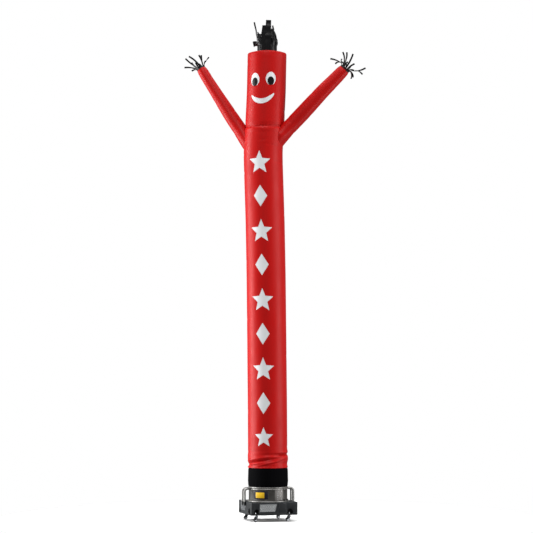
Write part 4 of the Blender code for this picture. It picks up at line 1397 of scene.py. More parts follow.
@dataclass
class Arms:
    """Both arms with their tassels, named from the viewer's side."""

    shape: TubeShape
    finishes: Finishes
    left_rows: tuple = (
        # sideways place, height and radius of each ring, from inside the body to the hand
        (-0.160, 4.300, 0.0860), (-0.235, 4.400, 0.0860), (-0.329, 4.549, 0.0845),
        (-0.432, 4.702, 0.0815), (-0.519, 4.837, 0.0755), (-0.603, 4.969, 0.0700),
        (-0.708, 5.134, 0.0645), (-0.786, 5.261, 0.0600), (-0.806, 5.295, 0.0500),
        (-0.8145, 5.3084, 0.0280), (-0.8155, 5.3100, 0.0040),
    )  # fmt: skip
    right_rows: tuple = (
        (0.040, 4.345, 0.0900), (0.118, 4.430, 0.0900), (0.196, 4.516, 0.0888),
        (0.310, 4.632, 0.0893), (0.422, 4.745, 0.0885), (0.537, 4.865, 0.0862),
        (0.652, 4.985, 0.0830), (0.770, 5.099, 0.0775), (0.884, 5.212, 0.0710),
        (0.910, 5.238, 0.0590), (0.9206, 5.2486, 0.0330), (0.9222, 5.2502, 0.0040),
    )  # fmt: skip
    left_folds: tuple = (
        # place along, angle from the back, reach along, half angle and depth
        (1.6, 60, 0.16, 60, -0.0030), (2.1, 250, 0.14, 50, -0.0030), (3.3, 100, 0.12, 45, -0.0018),
        (4.6, 240, 0.13, 50, -0.0018), (6.2, 80, 0.12, 50, -0.0016), (7.2, 200, 0.16, 80, -0.0020),
    )  # fmt: skip
    right_folds: tuple = (
        (2.4, 90, 0.15, 50, -0.0034), (2.9, 230, 0.15, 60, -0.0030), (4.2, 60, 0.12, 45, -0.0018),
        (5.4, 250, 0.13, 50, -0.0020), (6.9, 110, 0.12, 50, -0.0018), (8.3, 210, 0.18, 80, -0.0022),
    )  # fmt: skip
    left_strips: tuple = (
        # the long strips, then the short ones between them
        TasselStrip(1, 0.165, 152, 126, -22), TasselStrip(3, 0.085, 160, 140, -20),
        TasselStrip(5, 0.160, 164, 182, 8), TasselStrip(6, 0.195, 146, 136, 10),
        TasselStrip(8, 0.190, 128, 148, 14), TasselStrip(10, 0.130, 104, 92, 8),
        TasselStrip(12, 0.120, 66, 48, 4), TasselStrip(14, 0.175, 105, 122, -12),
        TasselStrip(0, 0.075, 150, 190, -14), TasselStrip(4, 0.070, 170, 210, 6),
        TasselStrip(7, 0.080, 130, 110, 16), TasselStrip(11, 0.065, 80, 50, 10),
        TasselStrip(15, 0.085, 118, 150, -16),
    )  # fmt: skip
    right_strips: tuple = (
        TasselStrip(2, 0.180, 62, 92, -10), TasselStrip(3, 0.115, 130, 215, -14),
        TasselStrip(5, 0.165, 146, 168, 6), TasselStrip(6, 0.170, 70, 108, 16),
        TasselStrip(8, 0.200, 50, 66, 18), TasselStrip(9, 0.125, 40, 22, 16),
        TasselStrip(11, 0.215, -8, 22, 8), TasselStrip(12, 0.180, 15, -45, -6),
        TasselStrip(9.6, 0.150, -48, -94, 26), TasselStrip(0, 0.080, 70, 110, -16),
        TasselStrip(1, 0.090, 95, 150, -10), TasselStrip(4, 0.075, 110, 60, 12),
        TasselStrip(7, 0.085, 60, 30, 20), TasselStrip(10, 0.090, 20, -30, 16),
        TasselStrip(14, 0.110, -30, -88, -8), TasselStrip(15, 0.080, 30, 75, -18),
    )  # fmt: skip
    left_flare_from: float = 2.6  # place along, below which the arm widens towards the body
    right_flare_from: float = 3.6

    def build(self) -> None:
        """Makes each arm with the tassel on its hand."""
        for side, rows, folds, strips, flare_from in (
            ("left", self.left_rows, self.left_folds, self.left_strips, self.left_flare_from),
            ("right", self.right_rows, self.right_folds, self.right_strips, self.right_flare_from),
        ):
            tassel = Tassel(side, self.finishes, rows[-3], rows[-2], strips).build()
            Arm(side, self.shape, self.finishes, rows, folds, flare_from).build(tassel)


class Lock(NamedTuple):
    """A lock of hair: first slot, slots, length, lean and curl to the side, twist and narrowing.

    ring is the share of the band's radius that it stands at, crinkle how far its folds swing.
    """

    slot: int
    slots: int
    length: float
    lean: float
    curl: float
    twist: float
    narrow: float
    ring: float = 1.0
    crinkle: float = 0.0025


@dataclass
class Hair:
    """The black band round the vent and the strips that stand up from it in the air stream."""

    shape: TubeShape
    finishes: Finishes
    base: float = 5.4705
    radius: float = 0.1162
    band_height: float = 0.075
    rooted: float = 0.012  # how far the strips reach down inside the band
    slots: int = 30
    locks: tuple = (
        Lock(27, 3, 0.225, 6, 2, 10, 0.85), Lock(0, 3, 0.283, -1, 4, -12, 0.85),
        Lock(4, 1, 0.225, 6, -16, -40, 0.75), Lock(6, 1, 0.165, 14, -40, -70, 0.75),
        Lock(8, 1, 0.115, 24, -64, -80, 0.80), Lock(11, 1, 0.185, 8, -24, 60, 0.75),
        Lock(13, 2, 0.220, 2, 6, 20, 0.80), Lock(16, 2, 0.180, -3, -6, -15, 0.80),
        Lock(19, 1, 0.155, -10, 16, -60, 0.75), Lock(21, 1, 0.110, -40, 110, 50, 0.80),
        Lock(23, 1, 0.282, 1, -15, 75, 0.75), Lock(26, 1, 0.150, -10, 8, 35, 0.60),
        # the inner ones fill the mass behind them
        Lock(0, 4, 0.215, -3, 8, 30, 0.9, 0.80, 0.006),
        Lock(5, 4, 0.165, 0, -6, -40, 0.8, 0.74, 0.007),
        Lock(10, 4, 0.160, 4, -12, 25, 0.9, 0.70, 0.006),
        Lock(15, 4, 0.205, 0, 8, -30, 0.9, 0.72, 0.006),
        Lock(20, 4, 0.150, -6, -10, 40, 0.9, 0.74, 0.007),
        Lock(25, 4, 0.170, -5, 12, -35, 0.9, 0.78, 0.006),
        Lock(2, 3, 0.150, 8, -20, 60, 0.9, 0.45, 0.006),
        Lock(12, 5, 0.240, 3, 4, -20, 0.9, 0.40, 0.005),
        # curls that hang over the band
        Lock(24, 3, 0.062, -22, -92, 46, 0.95, 1.0, 0.003),
        Lock(7, 2, 0.150, 34, -120, -40, 0.85, 0.98, 0.004),
        Lock(27, 1, 0.095, -30, 100, 60, 0.8, 0.98, 0.004),
        Lock(9, 1, 0.170, 16, -70, 90, 0.7, 0.96, 0.004),
    )  # fmt: skip

    def route(self, lock: Lock) -> Strip:
        """Lays out the lock's middle line and its wide side.

        Args:
            lock: The lock.

        Returns:
            Its route.
        """
        steps = 8
        turn = FULL_TURN * (lock.slot + lock.slots / 2) / self.slots
        front, right = np.array([0.0, -1.0, 0.0]), np.array([1.0, 0.0, 0.0])
        up = np.array([0.0, 0.0, 1.0])
        outward = front * math.cos(turn) + right * math.sin(turn)
        wide = np.cross(up, outward)
        middle = float(self.shape.sway(np.array([self.shape.crown]))[0])
        half = math.pi * lock.slots / self.slots
        ring = self.radius * lock.ring * math.cos(half) - 0.001
        point = np.array([middle, 0.0, self.base + self.band_height - self.rooted]) + outward * ring
        heading = turned_by(up, (0, 1, 0), lock.lean)
        points, sides = [point], [wide]
        for k in range(steps):
            heading = turned_by(heading, (0, 1, 0), lock.curl / steps)
            wide = turned_by(wide, (0, 1, 0), lock.curl / steps)
            wide = turned_by(wide, heading, lock.twist / steps)
            point = point + heading * (lock.length + self.rooted) / steps
            swing = math.sin(2.3 * k + lock.slot) * lock.crinkle * min(k / 2, 1.0)
            points.append(point + np.cross(heading, wide) * swing)
            sides.append(wide)
        width = 2 * self.radius * lock.ring * math.sin(half)
        return Strip(np.array(points), np.array(sides), width, lock.narrow)

    def band(self) -> Object:
        """Lays the upright band round the vent.

        Returns:
            The piece.
        """

        def lay(u: Array, v: Array) -> Laid:
            """Round and up the band.

            Args:
                u: Shares of the way round.
                v: Shares of the way up.

            Returns:
                Where they lie.
            """
            turn = u * FULL_TURN
            ripple = 0.0012 * np.sin(15 * turn) * v + 0.0008 * np.sin(7 * turn + 1) * v
            radius = self.radius - 0.0008 + ripple
            z = self.base - 0.001 + v * self.band_height
            points = around(turn, radius, z, self.shape.sway(np.full_like(u, self.shape.crown)))
            cloth = np.stack([turn * self.radius, z], axis=1)
            seam = np.stack([cloth[:, 0], v * self.band_height], axis=1)
            return Laid(from_dancer(points), cloth, seam)

        return lay_grid("hair_band", 96, 10, lay, 0.0015)

    def build(self) -> Object:
        """Makes the band and its locks as one piece.

        Returns:
            The piece.
        """
        parts = [self.band()]
        for k, lock in enumerate(self.locks):
            parts.append(lay_strip(f"lock_{k}", self.route(lock), 0.0011, rows=24))
        piece = join(parts, "hair_strips")
        return fit(piece, self.finishes.black_nylon, node="hair_fringe")


# ---------------------------------------------------------------- the blower
def lathe(
    name: str, profile: Sequence[tuple[float, float]], steps: int, closed: bool = True
) -> Object:
    """Spins a profile about the upright axis.

    Args:
        name: The piece's name.
        profile: Radius and height of each corner.
        steps: Faces round the axis.
        closed: Whether the last corner joins the first one.

    Returns:
        The piece, about the origin.
    """
    deselect_all()
    bpy.ops.mesh.primitive_plane_add(size=0.01)
    obj = bpy.context.object
    obj.name = obj.data.name = name
    bpy.ops.object.mode_set(mode="EDIT")
    bpy.ops.mesh.select_all(action="SELECT")
    bpy.ops.mesh.merge(type="CENTER")
    bpy.ops.transform.translate(value=(profile[0][0], 0.0, profile[0][1]))
    corners = [*profile[1:], profile[0]] if closed else list(profile[1:])
    before = profile[0]
    for radius, height in corners:
        step = (radius - before[0], 0.0, height - before[1])
        bpy.ops.mesh.extrude_vertices_move(TRANSFORM_OT_translate={"value": step})
        before = (radius, height)
    bpy.ops.mesh.select_all(action="SELECT")
    bpy.ops.mesh.spin(steps=steps, angle=FULL_TURN, center=(0, 0, 0), axis=(0, 0, 1))
    bpy.ops.mesh.select_all(action="SELECT")
    bpy.ops.mesh.remove_doubles(threshold=1e-6)
    bpy.ops.mesh.normals_make_consistent(inside=False)
    bpy.ops.object.mode_set(mode="OBJECT")
    return obj


def moved(obj: Object, by: Sequence[float], turn: Matrix | None = None) -> Object:
    """Turns and then moves a piece's mesh.

    Args:
        obj: The piece.
        by: How far it moves.
        turn: How it turns first.

    Returns:
        The same piece.
    """
    shift = Matrix.Translation(Vector(by))
    obj.data.transform(shift @ turn.to_4x4() if turn is not None else shift)
    return obj


def on_axis(obj: Object, smooth_deg: float = 40.0) -> Object:
    """Sets a turned piece on the blower's middle line."""
    return settle(moved(obj, (*AXIS, 0.0)), smooth_deg)


def pointed(out: Sequence[float]) -> Matrix:
    """The turn that brings an upright piece to point a way."""
    return Vector((0, 0, 1)).rotation_difference(Vector(out)).to_matrix()


def refined(frame: dict, node: str, bevel: float, angle_deg: float = 28.0) -> Object:
    """A copy of a CAD node with merged points and rounded edges, which stands for it.

    Args:
        node: The node's name.
        bevel: Width of the rounding.
        angle_deg: Edges sharper than this are rounded.

    Returns:
        The piece.
    """
    source = frame["nodes"][node]
    piece = bpy.data.objects.new(node + "_finish", source.data.copy())
    bpy.context.scene.collection.objects.link(piece)
    clean_up(piece, gap=2e-5, recalculate=False)
    apply_modifier(piece, "DECIMATE", decimate_type="DISSOLVE", angle_limit=math.radians(0.5))
    limit = math.radians(angle_deg)
    apply_modifier(piece, "BEVEL", width=bevel, segments=2, limit_method="ANGLE", angle_limit=limit)
    settle(piece, 32)
    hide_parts(node)
    return piece


@dataclass
class Drum:
    """The rolled steel drum with its flange, beads, seam plate and label."""

    finishes: Finishes
    steps: int = 128
    plate_r: float = 0.2256
    rivet_angles: tuple = (13.8, 25.6)
    rivet_heights: tuple = (0.252, 0.276, 0.300, 0.324, 0.348)
    rivet_dome: tuple = (
        (0.0, 0.0026), (0.0020, 0.0024), (0.0038, 0.0016),
        (0.0048, 0.0), (0.0048, -0.0012), (0.0, -0.0012),
    )  # fmt: skip
    profile: tuple = (
        # radius, height: flange, wall, two rolled beads, collar and bore
        (0.2455, 0.2243), (0.2455, 0.2325), (0.2447, 0.2335), (0.2262, 0.2335), (0.2245, 0.2350),
        (0.2235, 0.2385),
        (0.2235, 0.3610), (0.2250, 0.3632), (0.2280, 0.3648), (0.2290, 0.3680), (0.2280, 0.3712),
        (0.2250, 0.3728),
        (0.2240, 0.3760), (0.2250, 0.3795), (0.2280, 0.3815), (0.2290, 0.3850), (0.2288, 0.3895),
        (0.2270, 0.3918),
        (0.2175, 0.3926), (0.2165, 0.3940), (0.2165, 0.4990), (0.2160, 0.5000), (0.2140, 0.5000),
        (0.2135, 0.4990),
        (0.2135, 0.2243),
    )  # fmt: skip
    rims: tuple = (
        # radius and height of each bare edge's cross-section
        ((0.2288, 0.3655), (0.2296, 0.3665), (0.2298, 0.3680), (0.2296, 0.3695), (0.2288, 0.3705)),
        ((0.2288, 0.3828), (0.2296, 0.3840), (0.2298, 0.3855), (0.2296, 0.3870), (0.2288, 0.3880)),
        ((0.2450, 0.2262), (0.2461, 0.2270), (0.2463, 0.2295), (0.2461, 0.2325), (0.2450, 0.2333)),
    )

    def rivet(self, angle_deg: float, z: float) -> Object:
        """A domed rivet head on the seam plate.

        Args:
            angle_deg: Its angle from the blower's front.
            z: Its height.

        Returns:
            The piece.
        """
        angle = math.radians(angle_deg)
        out = Vector((math.sin(angle), -math.cos(angle), 0.0))
        place = (AXIS[0] + out.x * self.plate_r, AXIS[1] + out.y * self.plate_r, z)
        head = lathe("rivet", self.rivet_dome, 14, closed=False)
        return settle(moved(head, place, pointed(out)), 40)

    def build(self, frame: dict) -> None:
        """Makes the drum, its rims, plates, rivets and knobs, and the cable gland.
        """
        finishes = self.finishes
        drum = on_axis(lathe("drum_steel", self.profile, self.steps))
        fit(drum, finishes.painted_steel, node="fan_drum")
        for node, bevel, material, slot in (
            ("label_plate", 0.0006, finishes.navy_vinyl, "label_dark"),
            ("label_block", 0.0004, finishes.yellow_vinyl, "label_yellow"),
            ("seam_plate", 0.0007, finishes.bare_steel, "drum_paint"),
        ):
            fit(refined(frame, node, bevel), material)
        rims = [on_axis(lathe("rim", edge, self.steps), 60) for edge in self.rims]
        fit(join(rims, "drum_rims"), finishes.brushed_steel)
        rivets = [self.rivet(angle, z) for angle in self.rivet_angles for z in self.rivet_heights]
        fit(join(rivets, "seam_rivets"), finishes.zinc_plate)
        for node in ("flange_knob_1", "flange_knob_2", "cord_gland"):
            fit(refined(frame, node, 0.0015), finishes.phenolic)


@dataclass
class BaseBox:
    """The moulded base box with its windows, mesh panels, cover and floor plate."""

    finishes: Finishes
    half: float = 0.280
    wall: float = 0.004
    window: tuple = (-0.178, 0.006, 0.028)  # left edge, and right edge at the sill and at the head
    sill: float = 0.120
    head: float = 0.207
    stud_at: float = 0.196  # of each caster, sideways and forwards from the middle line
    pocket_inner: float = 0.143
    pocket_foot: float = 0.0835
    pocket_top: float = 0.165
    ring: tuple = ((0.2145, 0.0835), (0.2160, 0.0835), (0.2160, 0.2190), (0.2145, 0.2190))
    cells: int = 26  # of the uncut mesh, each way
    pitch: float = 0.027
    squat: float = 0.62  # height of a mesh diamond as a share of its width
    strand: float = 0.0076
    lap: float = 0.0055  # how far the mesh reaches behind the window's edge

    def mesh_panel(self, side: int, name: str) -> Object:
        """A panel of expanded steel behind a window.

        Args:
            side: 0 for the front, then anticlockwise seen from above.
            name: The node that it stands for.

        Returns:
            The piece.
        """
        left, low_right, high_right = self.window
        deselect_all()
        size = self.cells * self.pitch / math.sqrt(2)
        bpy.ops.mesh.primitive_grid_add(
            x_subdivisions=self.cells, y_subdivisions=self.cells, size=size
        )
        panel = bpy.context.object
        panel.name = panel.data.name = name + "_expanded"
        middle = ((left + high_right) / 2, (self.sill + self.head) / 2, 0.0)
        turn = Matrix.Rotation(math.radians(45), 3, "Z")
        moved(panel, middle, Matrix.Diagonal((1.0, self.squat, 1.0)) @ turn)
        slant = Vector((self.head - self.sill, -(high_right - low_right), 0.0)).normalized()
        bpy.ops.object.mode_set(mode="EDIT")
        for place, outward in (
            ((left - self.lap, 0, 0), (-1, 0, 0)),
            ((0, self.sill - self.lap, 0), (0, -1, 0)),
            ((0, self.head + self.lap, 0), (0, 1, 0)),
            ((low_right + self.lap, self.sill, 0), tuple(slant)),
        ):
            bpy.ops.mesh.select_all(action="SELECT")
            bpy.ops.mesh.bisect(plane_co=place, plane_no=outward, clear_outer=True)
        bpy.ops.object.mode_set(mode="OBJECT")
        apply_modifier(
            panel, "WIREFRAME", thickness=self.strand, use_even_offset=True, use_boundary=True
        )
        upright = Matrix.Rotation(math.radians(90), 3, "X")
        moved(panel, (0.0, -(self.half - self.wall - 0.0013), 0.0), upright)
        moved(panel, (*AXIS, 0.0), Matrix.Rotation(side * math.pi / 2, 3, "Z"))
        return settle(panel)

    def pocket(self, corner: int) -> Object:
        """The dark housing over a caster, behind the two arches at a corner.

        Args:
            corner: 0 for the front left one, then anticlockwise seen from above.

        Returns:
            The piece.
        """
        outer, inner, middle = self.half - self.wall - 0.0045, self.pocket_inner, self.stud_at
        bend = middle - inner
        turns = np.linspace(0, math.pi / 2, 9)
        path = np.array(
            [(-outer, -inner)]
            + [(-middle + bend * math.sin(t), -middle + bend * math.cos(t)) for t in turns]
            + [(-inner, -outer)]
        )

        def lay(u: Array, v: Array) -> Laid:
            """The wall, and then the roof out to the corner.

            Args:
                u: Shares of the way along the wall.
                v: Shares of the way up it and out over the roof.

            Returns:
                Where they lie.
            """
            place = u * (len(path) - 1)
            x, y = (np.interp(place, np.arange(len(path)), values) for values in path.T)
            roof = np.clip(v * 2 - 1, 0, 1)
            z = self.pocket_foot + (self.pocket_top - self.pocket_foot) * np.clip(v * 2, 0, 1)
            flat = np.stack([x + (-outer - x) * roof, y + (-outer - y) * roof, z], axis=1)
            cloth = np.stack([u * 0.3, v * 0.2], axis=1)
            return Laid(from_blower(flat), cloth, cloth)

        piece = lay_grid(f"caster_pocket_{corner}", 40, 12, lay, 0.002)
        to_corner = Matrix.Translation((*AXIS, 0)) @ Matrix.Rotation(corner * math.pi / 2, 4, "Z")
        piece.data.transform(to_corner @ Matrix.Translation((-AXIS[0], -AXIS[1], 0)))
        return settle(piece)

    def build(self, frame: dict) -> None:
        """Makes the intake ring, the pockets, the shell, its cover and plate, and the mesh.
        """
        finishes = self.finishes
        fit(on_axis(lathe("intake_ring", self.ring, 96)), finishes.black_abs)
        for corner in range(4):
            fit(self.pocket(corner), finishes.black_abs)
        fit(refined(frame, "base_box", 0.0012, 35), finishes.moulded_abs)
        fit(refined(frame, "front_cover", 0.0008), finishes.moulded_abs)
        fit(refined(frame, "floor_plate", 0.0008), finishes.painted_steel)
        for side, name in enumerate(("mesh_front", "mesh_right", "mesh_back", "mesh_left")):
            # the side and back panels take the darker copy of the mesh finish: painted shade
            material = finishes.galvanised if name == "mesh_front" else finishes.shaded_mesh
            fit(self.mesh_panel(side, name), material, node=name)


@dataclass
class Handles:
    """Two bent tubes on each side of the box, run up and in to the drum."""

    finishes: Finishes
    radius: float = 0.0125
    out: float = 0.2935
    top: float = 0.372
    foot: float = 0.179
    bend: float = 0.034
    half_span: float = 0.044
    drum_reach: float = 0.2294  # radius of the bead that the tubes meet

    def tube(self, name: str, sign: int, y: float) -> Object:
        """Sweeps one bent tube along its middle line.

        Args:
            name: The node's name.
            sign: -1 for the left side and 1 for the right.
            y: How far behind the drum's middle it stands.

        Returns:
            The piece.
        """
        path = [(self.out, self.foot)]
        for k in range(13):
            turn = math.pi / 2 * k / 12
            inward, down = 1 - math.cos(turn), 1 - math.sin(turn)
            path.append((self.out - self.bend * inward, self.top - self.bend * down))
        path.append((self.reach(y), self.top))
        middle = np.array([[sign * x, y, z] for x, z in path])

        def lay(u: Array, v: Array) -> Laid:
            """Round and along the tube.

            Args:
                u: Shares of the way round.
                v: Shares of the way along.

            Returns:
                Where they lie.
            """
            # the end rings turn in to close the tube
            place = np.clip(v * 1.04 - 0.02, 0, 1) * (len(middle) - 1)
            low = np.clip(place.astype(int), 0, len(middle) - 2)
            share = (place - low)[:, None]
            centre = middle[low] * (1 - share) + middle[low + 1] * share
            across = np.cross(unit(heading_along(middle, place, 0.2)), (0.0, 1.0, 0.0))
            turn = u * FULL_TURN * sign
            size = self.radius * np.where((v < 0.01) | (v > 0.99), 0.0, 1.0)
            ring = across * np.cos(turn)[:, None] + np.outer(np.sin(turn), (0, -1, 0))
            points = centre + ring * size[:, None]
            cloth = np.stack([u * 0.08, v * 0.3], axis=1)
            return Laid(from_blower(points), cloth, cloth)

        tube = lay_grid(name + "_tube", 32, 50, lay, 0.0)
        clean_up(tube)
        return tube

    def reach(self, y: float) -> float:
        """How far in a tube runs before it meets the drum's bead."""
        return math.sqrt(self.drum_reach**2 - y**2) + 0.001

    def build(self) -> None:
        """Makes the four tubes."""
        for side, sign in (("left", -1), ("right", 1)):
            for place, y in (("front", -self.half_span), ("back", self.half_span)):
                node = f"handle_{side}_{place}"
                tube = settle(self.tube(node, sign, y), 60)
                fit(tube, self.finishes.brushed_steel, node=node)


class CasterPlace(NamedTuple):
    """A caster's name, its axle's place in plan and the way its axle runs."""

    name: str
    x: float
    y: float
    axle_x: float
    axle_y: float

    @property
    def axle(self) -> Vector:
        """The way its axle runs, one metre long."""
        return Vector((self.axle_x, self.axle_y, 0.0)).normalized()


@dataclass
class Casters:
    """Four swivel casters: plated forks and studs, rubber tyres on plated hubs."""

    finishes: Finishes
    axle_z: float = 0.02452
    stud_at: float = 0.196
    stud_z: float = 0.0912  # foot of the nut on top of a stud
    stud_nut: tuple = (0.0088, 0.0180)  # radius and height
    axle_nut: tuple = (0.0068, 0.0036)
    nut_out: float = 0.0158  # from the wheel's middle to the axle nut's foot
    places: tuple = (
        CasterPlace("front_left", -0.25769, -0.17948, 0.52992, -0.84805),
        CasterPlace("front_right", 0.13205, -0.17440, 0.27564, -0.96126),
        CasterPlace("back_left", -0.26053, 0.22033, 0.13917, -0.99027),
        CasterPlace("back_right", 0.13300, 0.21498, 0.40674, -0.91355),
    )
    tyre: tuple = (
        # radius, place along the axle
        (0.0150, -0.0086), (0.0175, -0.0095), (0.0210, -0.0094), (0.0235, -0.0075),
        (0.0244, -0.0040), (0.0245, 0.0),
        (0.0244, 0.0040), (0.0235, 0.0075), (0.0210, 0.0094), (0.0175, 0.0095), (0.0150, 0.0086),
    )  # fmt: skip
    hub: tuple = (
        (0.0046, -0.0098), (0.0085, -0.0098), (0.0092, -0.0090), (0.0100, -0.0062),
        (0.0140, -0.0060),
        (0.0152, -0.0082), (0.0152, 0.0082), (0.0140, 0.0060), (0.0100, 0.0062), (0.0092, 0.0090),
        (0.0085, 0.0098), (0.0046, 0.0098),
    )  # fmt: skip

    def wheel(self, place: CasterPlace) -> None:
        """Makes a tyre and its hub, turned about the axle.

        Args:
            place: The caster.
        """
        middle, body = (place.x, place.y, self.axle_z), f"wheel_{place.name}"
        tyre = moved(lathe(f"tyre_{place.name}", self.tyre, 40), middle, pointed(place.axle))
        node = f"caster_wheel_{place.name}"
        fit(settle(tyre), self.finishes.tyre_rubber, body, node)
        hub = moved(lathe(f"hub_{place.name}", self.hub, 40), middle, pointed(place.axle))
        fit(settle(hub), self.finishes.zinc_plate, body)

    def dome(
        self, radius: float, height: float, at: Sequence[float], out: Sequence[float]
    ) -> Object:
        """A domed nut.

        Args:
            radius: Its radius.
            height: Its height.
            at: The middle of its foot.
            out: The way that it points.

        Returns:
            The piece.
        """
        profile = (
            (0.0, height), (radius * 0.5, height * 0.92), (radius * 0.85, height * 0.62),
            (radius, height * 0.25), (radius, 0.0), (0.0, 0.0),
        )  # fmt: skip
        return settle(moved(lathe("nut", profile, 18, closed=False), at, pointed(out)), 40)

    def nuts(self, place: CasterPlace) -> None:
        """Makes the nuts on both ends of an axle, which swivel with the fork.

        Args:
            place: The caster.
        """
        middle = Vector((place.x, place.y, self.axle_z))
        ends = (-place.axle, place.axle)
        pair = [self.dome(*self.axle_nut, middle + end * self.nut_out, end) for end in ends]
        piece = join(pair, f"axle_nuts_{place.name}")
        fit(piece, self.finishes.zinc_plate, f"fork_{place.name}")

    def build(self, frame: dict) -> None:
        """Makes the wheels and the nuts, and finishes the forks and studs.
        """
        zinc, at = self.finishes.zinc_plate, (-self.stud_at, self.stud_at)
        feet = [(AXIS[0] + x, AXIS[1] + y, self.stud_z) for x in at for y in at]
        caps = [self.dome(*self.stud_nut, foot, (0, 0, 1)) for foot in feet]
        fit(join(caps, "stud_cap_nuts"), zinc)
        for place in self.places:
            self.wheel(place)
            self.nuts(place)
            fork = refined(frame, f"caster_fork_{place.name}", 0.0005, 30)
            fit(fork, self.finishes.dark_zinc, f"fork_{place.name}")
            stud = refined(frame, f"caster_stud_{place.name}", 0.0005, 30)
            fit(stud, zinc)


@dataclass
class Cuff:
    """The black cloth cuff that ties the tube to the drum's collar."""

    shape: TubeShape
    finishes: Finishes
    profile: tuple = (
        # radius, height, from below
        (0.2215, 0.3962), (0.2252, 0.3975), (0.2272, 0.4030), (0.2292, 0.4130), (0.2305, 0.4250),
        (0.2318, 0.4480),
        (0.2325, 0.4700), (0.2322, 0.5050), (0.2312, 0.5400), (0.2306, 0.5680), (0.2298, 0.5900),
        (0.2262, 0.6010),
        (0.2240, 0.6090), (0.2226, 0.6280),
    )  # fmt: skip
    flat: tuple = (1.46, 0.245)  # width and height of the cloth, laid flat
    hem_z: float = 0.399

    def build(self) -> None:
        """Makes the cuff with its gathers and its drawcord hem."""
        rows = np.array(self.profile)

        def lay(u: Array, v: Array) -> Laid:
            """Round and up the cuff.

            Args:
                u: Shares of the way round.
                v: Shares of the way up.

            Returns:
                Where they lie.
            """
            turn = u * FULL_TURN
            place, numbers = v * (len(rows) - 1), np.arange(len(rows))
            radius, z = (np.interp(place, numbers, values) for values in rows.T)
            gather = np.sin(34 * turn + 2 * np.sin(4 * turn)) * (0.6 + 0.4 * np.sin(7 * turn + 2))
            reach = bell(z - 0.400, 0.050) + 0.5 * bell(z - 0.592, 0.040)
            inside = np.clip((0.604 - z) / 0.012, 0, 1)
            radius = radius + (0.0016 * gather * reach + 0.0012 * bell(z - 0.462, 0.02)) * inside
            cloth = np.stack([turn * 0.23, z], axis=1)
            seam = np.stack([cloth[:, 0], z - self.hem_z], axis=1)
            return Laid(from_blower(around(turn, radius, z)), cloth, seam)

        piece = lay_grid("cuff_cloth", 160, 52, lay, 0.0013)
        fit(piece, self.finishes.black_webbing, node="cuff")


# ---------------------------------------------------------------- studio
class Softbox(NamedTuple):
    """A soft light: its name, bearing from the camera, distance, height, size and watts."""

    name: str
    bearing: float
    distance: float
    height: float
    size: tuple
    power: float


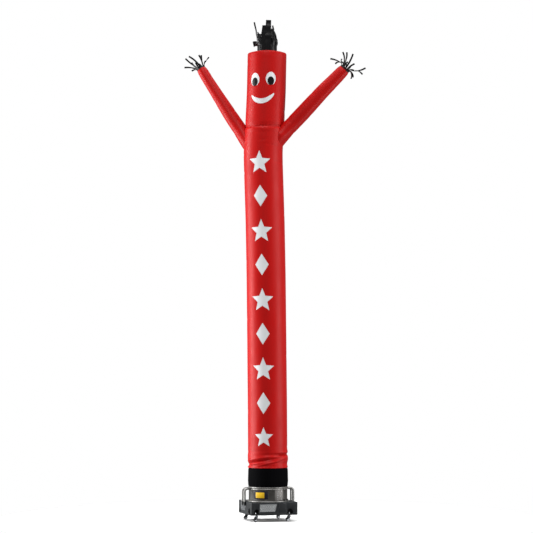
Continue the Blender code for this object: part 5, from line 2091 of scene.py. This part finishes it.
@dataclass
class Studio:
    """The white floor, the soft lights and the camera."""

    distance: float = 22.345
    height: float = 1.829
    yaw: float = 16.252
    tilt: float = 2.865
    focal_px: float = 1916.2
    frame_px: int = 533
    middle_px: float = 268.02  # where the part's middle line stands in the frame
    floor_radius: float = 3.2
    fill: float = 0.25  # how much of the white room's light reaches the part
    aim_height: float = 2.8
    softboxes: tuple = (
        Softbox("left_softbox", -96.0, 5.0, 2.4, (2.8, 7.6), 635.0),
        Softbox("right_softbox", 76.0, 6.0, 2.8, (2.8, 8.2), 370.0),
        Softbox("front_softbox", -6.0, 20.0, 21.0, (10.0, 10.0), 2760.0),
    )
    overhead_size: float = 16.0
    overhead_height: float = 16.0
    overhead_power: float = 2900.0

    def camera(self) -> None:
        """The camera, a little to the left of the blower's front and tilted slightly up."""
        turn = math.radians(self.yaw)
        away = (self.distance * math.sin(turn), self.distance * math.cos(turn))
        place = (AXIS[0] - away[0], AXIS[1] - away[1], self.height)
        look = (math.pi / 2 + math.radians(self.tilt), 0.0, -turn)
        bpy.ops.object.camera_add(location=place, rotation=look)
        camera = bpy.context.object
        camera.data.sensor_width = 36.0
        camera.data.lens = 36.0 * self.focal_px / self.frame_px
        camera.data.shift_x = -(self.middle_px - self.frame_px / 2) / self.frame_px
        camera.data.clip_end = 200.0
        bpy.context.scene.camera = camera

    def softbox(self, box: Softbox) -> None:
        """Adds a rectangular light that faces the dancer, its bearing to the camera's right.

        Args:
            box: The light.
        """
        turn = math.radians(-90.0 - self.yaw + box.bearing)
        away = (box.distance * math.cos(turn), box.distance * math.sin(turn))
        place = Vector((AXIS[0] + away[0], AXIS[1] + away[1], box.height))
        facing = (Vector((*AXIS, self.aim_height)) - place).to_track_quat("-Z", "Y").to_euler()
        bpy.ops.object.light_add(type="AREA", location=place, rotation=facing)
        light = bpy.context.object
        light.name = box.name
        light.data.shape = "RECTANGLE"
        light.data.size, light.data.size_y = box.size
        light.data.energy = box.power

    def floor(self) -> None:
        """The round white floor: it takes the part's shadow but throws no light back on it."""
        deselect_all()
        bpy.ops.mesh.primitive_circle_add(
            vertices=96, radius=self.floor_radius, fill_type="NGON", location=(*AXIS, 0.0)
        )
        floor = bpy.context.object
        floor.name = "floor"
        matt = {"Base Color": linear("#fafafa"), "Roughness": 0.9, "Specular IOR Level": 0.0}
        floor.data.materials.append(finished(new_material("white_floor"), matt))
        floor.visible_glossy = floor.visible_diffuse = floor.visible_shadow = False

    def room(self) -> None:
        """The white room, seen full but lighting the part only dimly."""
        world = bpy.data.worlds.new("studio")
        bpy.context.scene.world = world
        world.use_nodes = True
        tree = world.node_tree
        seen = add_node(tree, "LightPath").outputs["Is Camera Ray"]
        share = {"operation": "MULTIPLY_ADD", 0: seen, 1: 1.0 - self.fill, 2: self.fill}
        level = add_node(tree, "Math", share)
        sky = tree.nodes["Background"]
        sky.inputs["Color"].default_value = (1.0, 1.0, 1.0, 1.0)
        tree.links.new(level.outputs[0], sky.inputs["Strength"])

    def build(self) -> None:
        """Makes the floor, the room, the lights and the camera."""
        self.camera()
        self.floor()
        self.room()
        for box in self.softboxes:
            self.softbox(box)
        self.overhead()
        scene = bpy.context.scene
        scene.view_settings.view_transform = "Standard"
        scene.view_settings.look = "None"
        log.info("studio is ready")

    def overhead(self) -> None:
        """The wide light above, which whitens the floor."""
        bpy.ops.object.light_add(type="AREA", location=(*AXIS, self.overhead_height))
        light = bpy.context.object
        light.name = "overhead_softbox"
        light.data.size = self.overhead_size
        light.data.energy = self.overhead_power


def main() -> None:
    """Builds the part over the frame, sub-assembly by sub-assembly."""
    logging.basicConfig(level=logging.INFO, format="%(name)s: %(message)s")
    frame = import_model()
    Studio().build()
    finishes = Finishes()
    shape = TubeShape()
    sewn = Patches(shape, finishes).build()
    sewn["crown_panel"] = [Hair(shape, finishes).build()]
    Arms(shape, finishes).build()
    Tube(shape, finishes).build(sewn)
    Cuff(shape, finishes).build()
    Drum(finishes).build(frame)
    BaseBox(finishes).build(frame)
    Handles(finishes).build()
    Casters(finishes).build(frame)


if __name__ == "__main__":
    main()
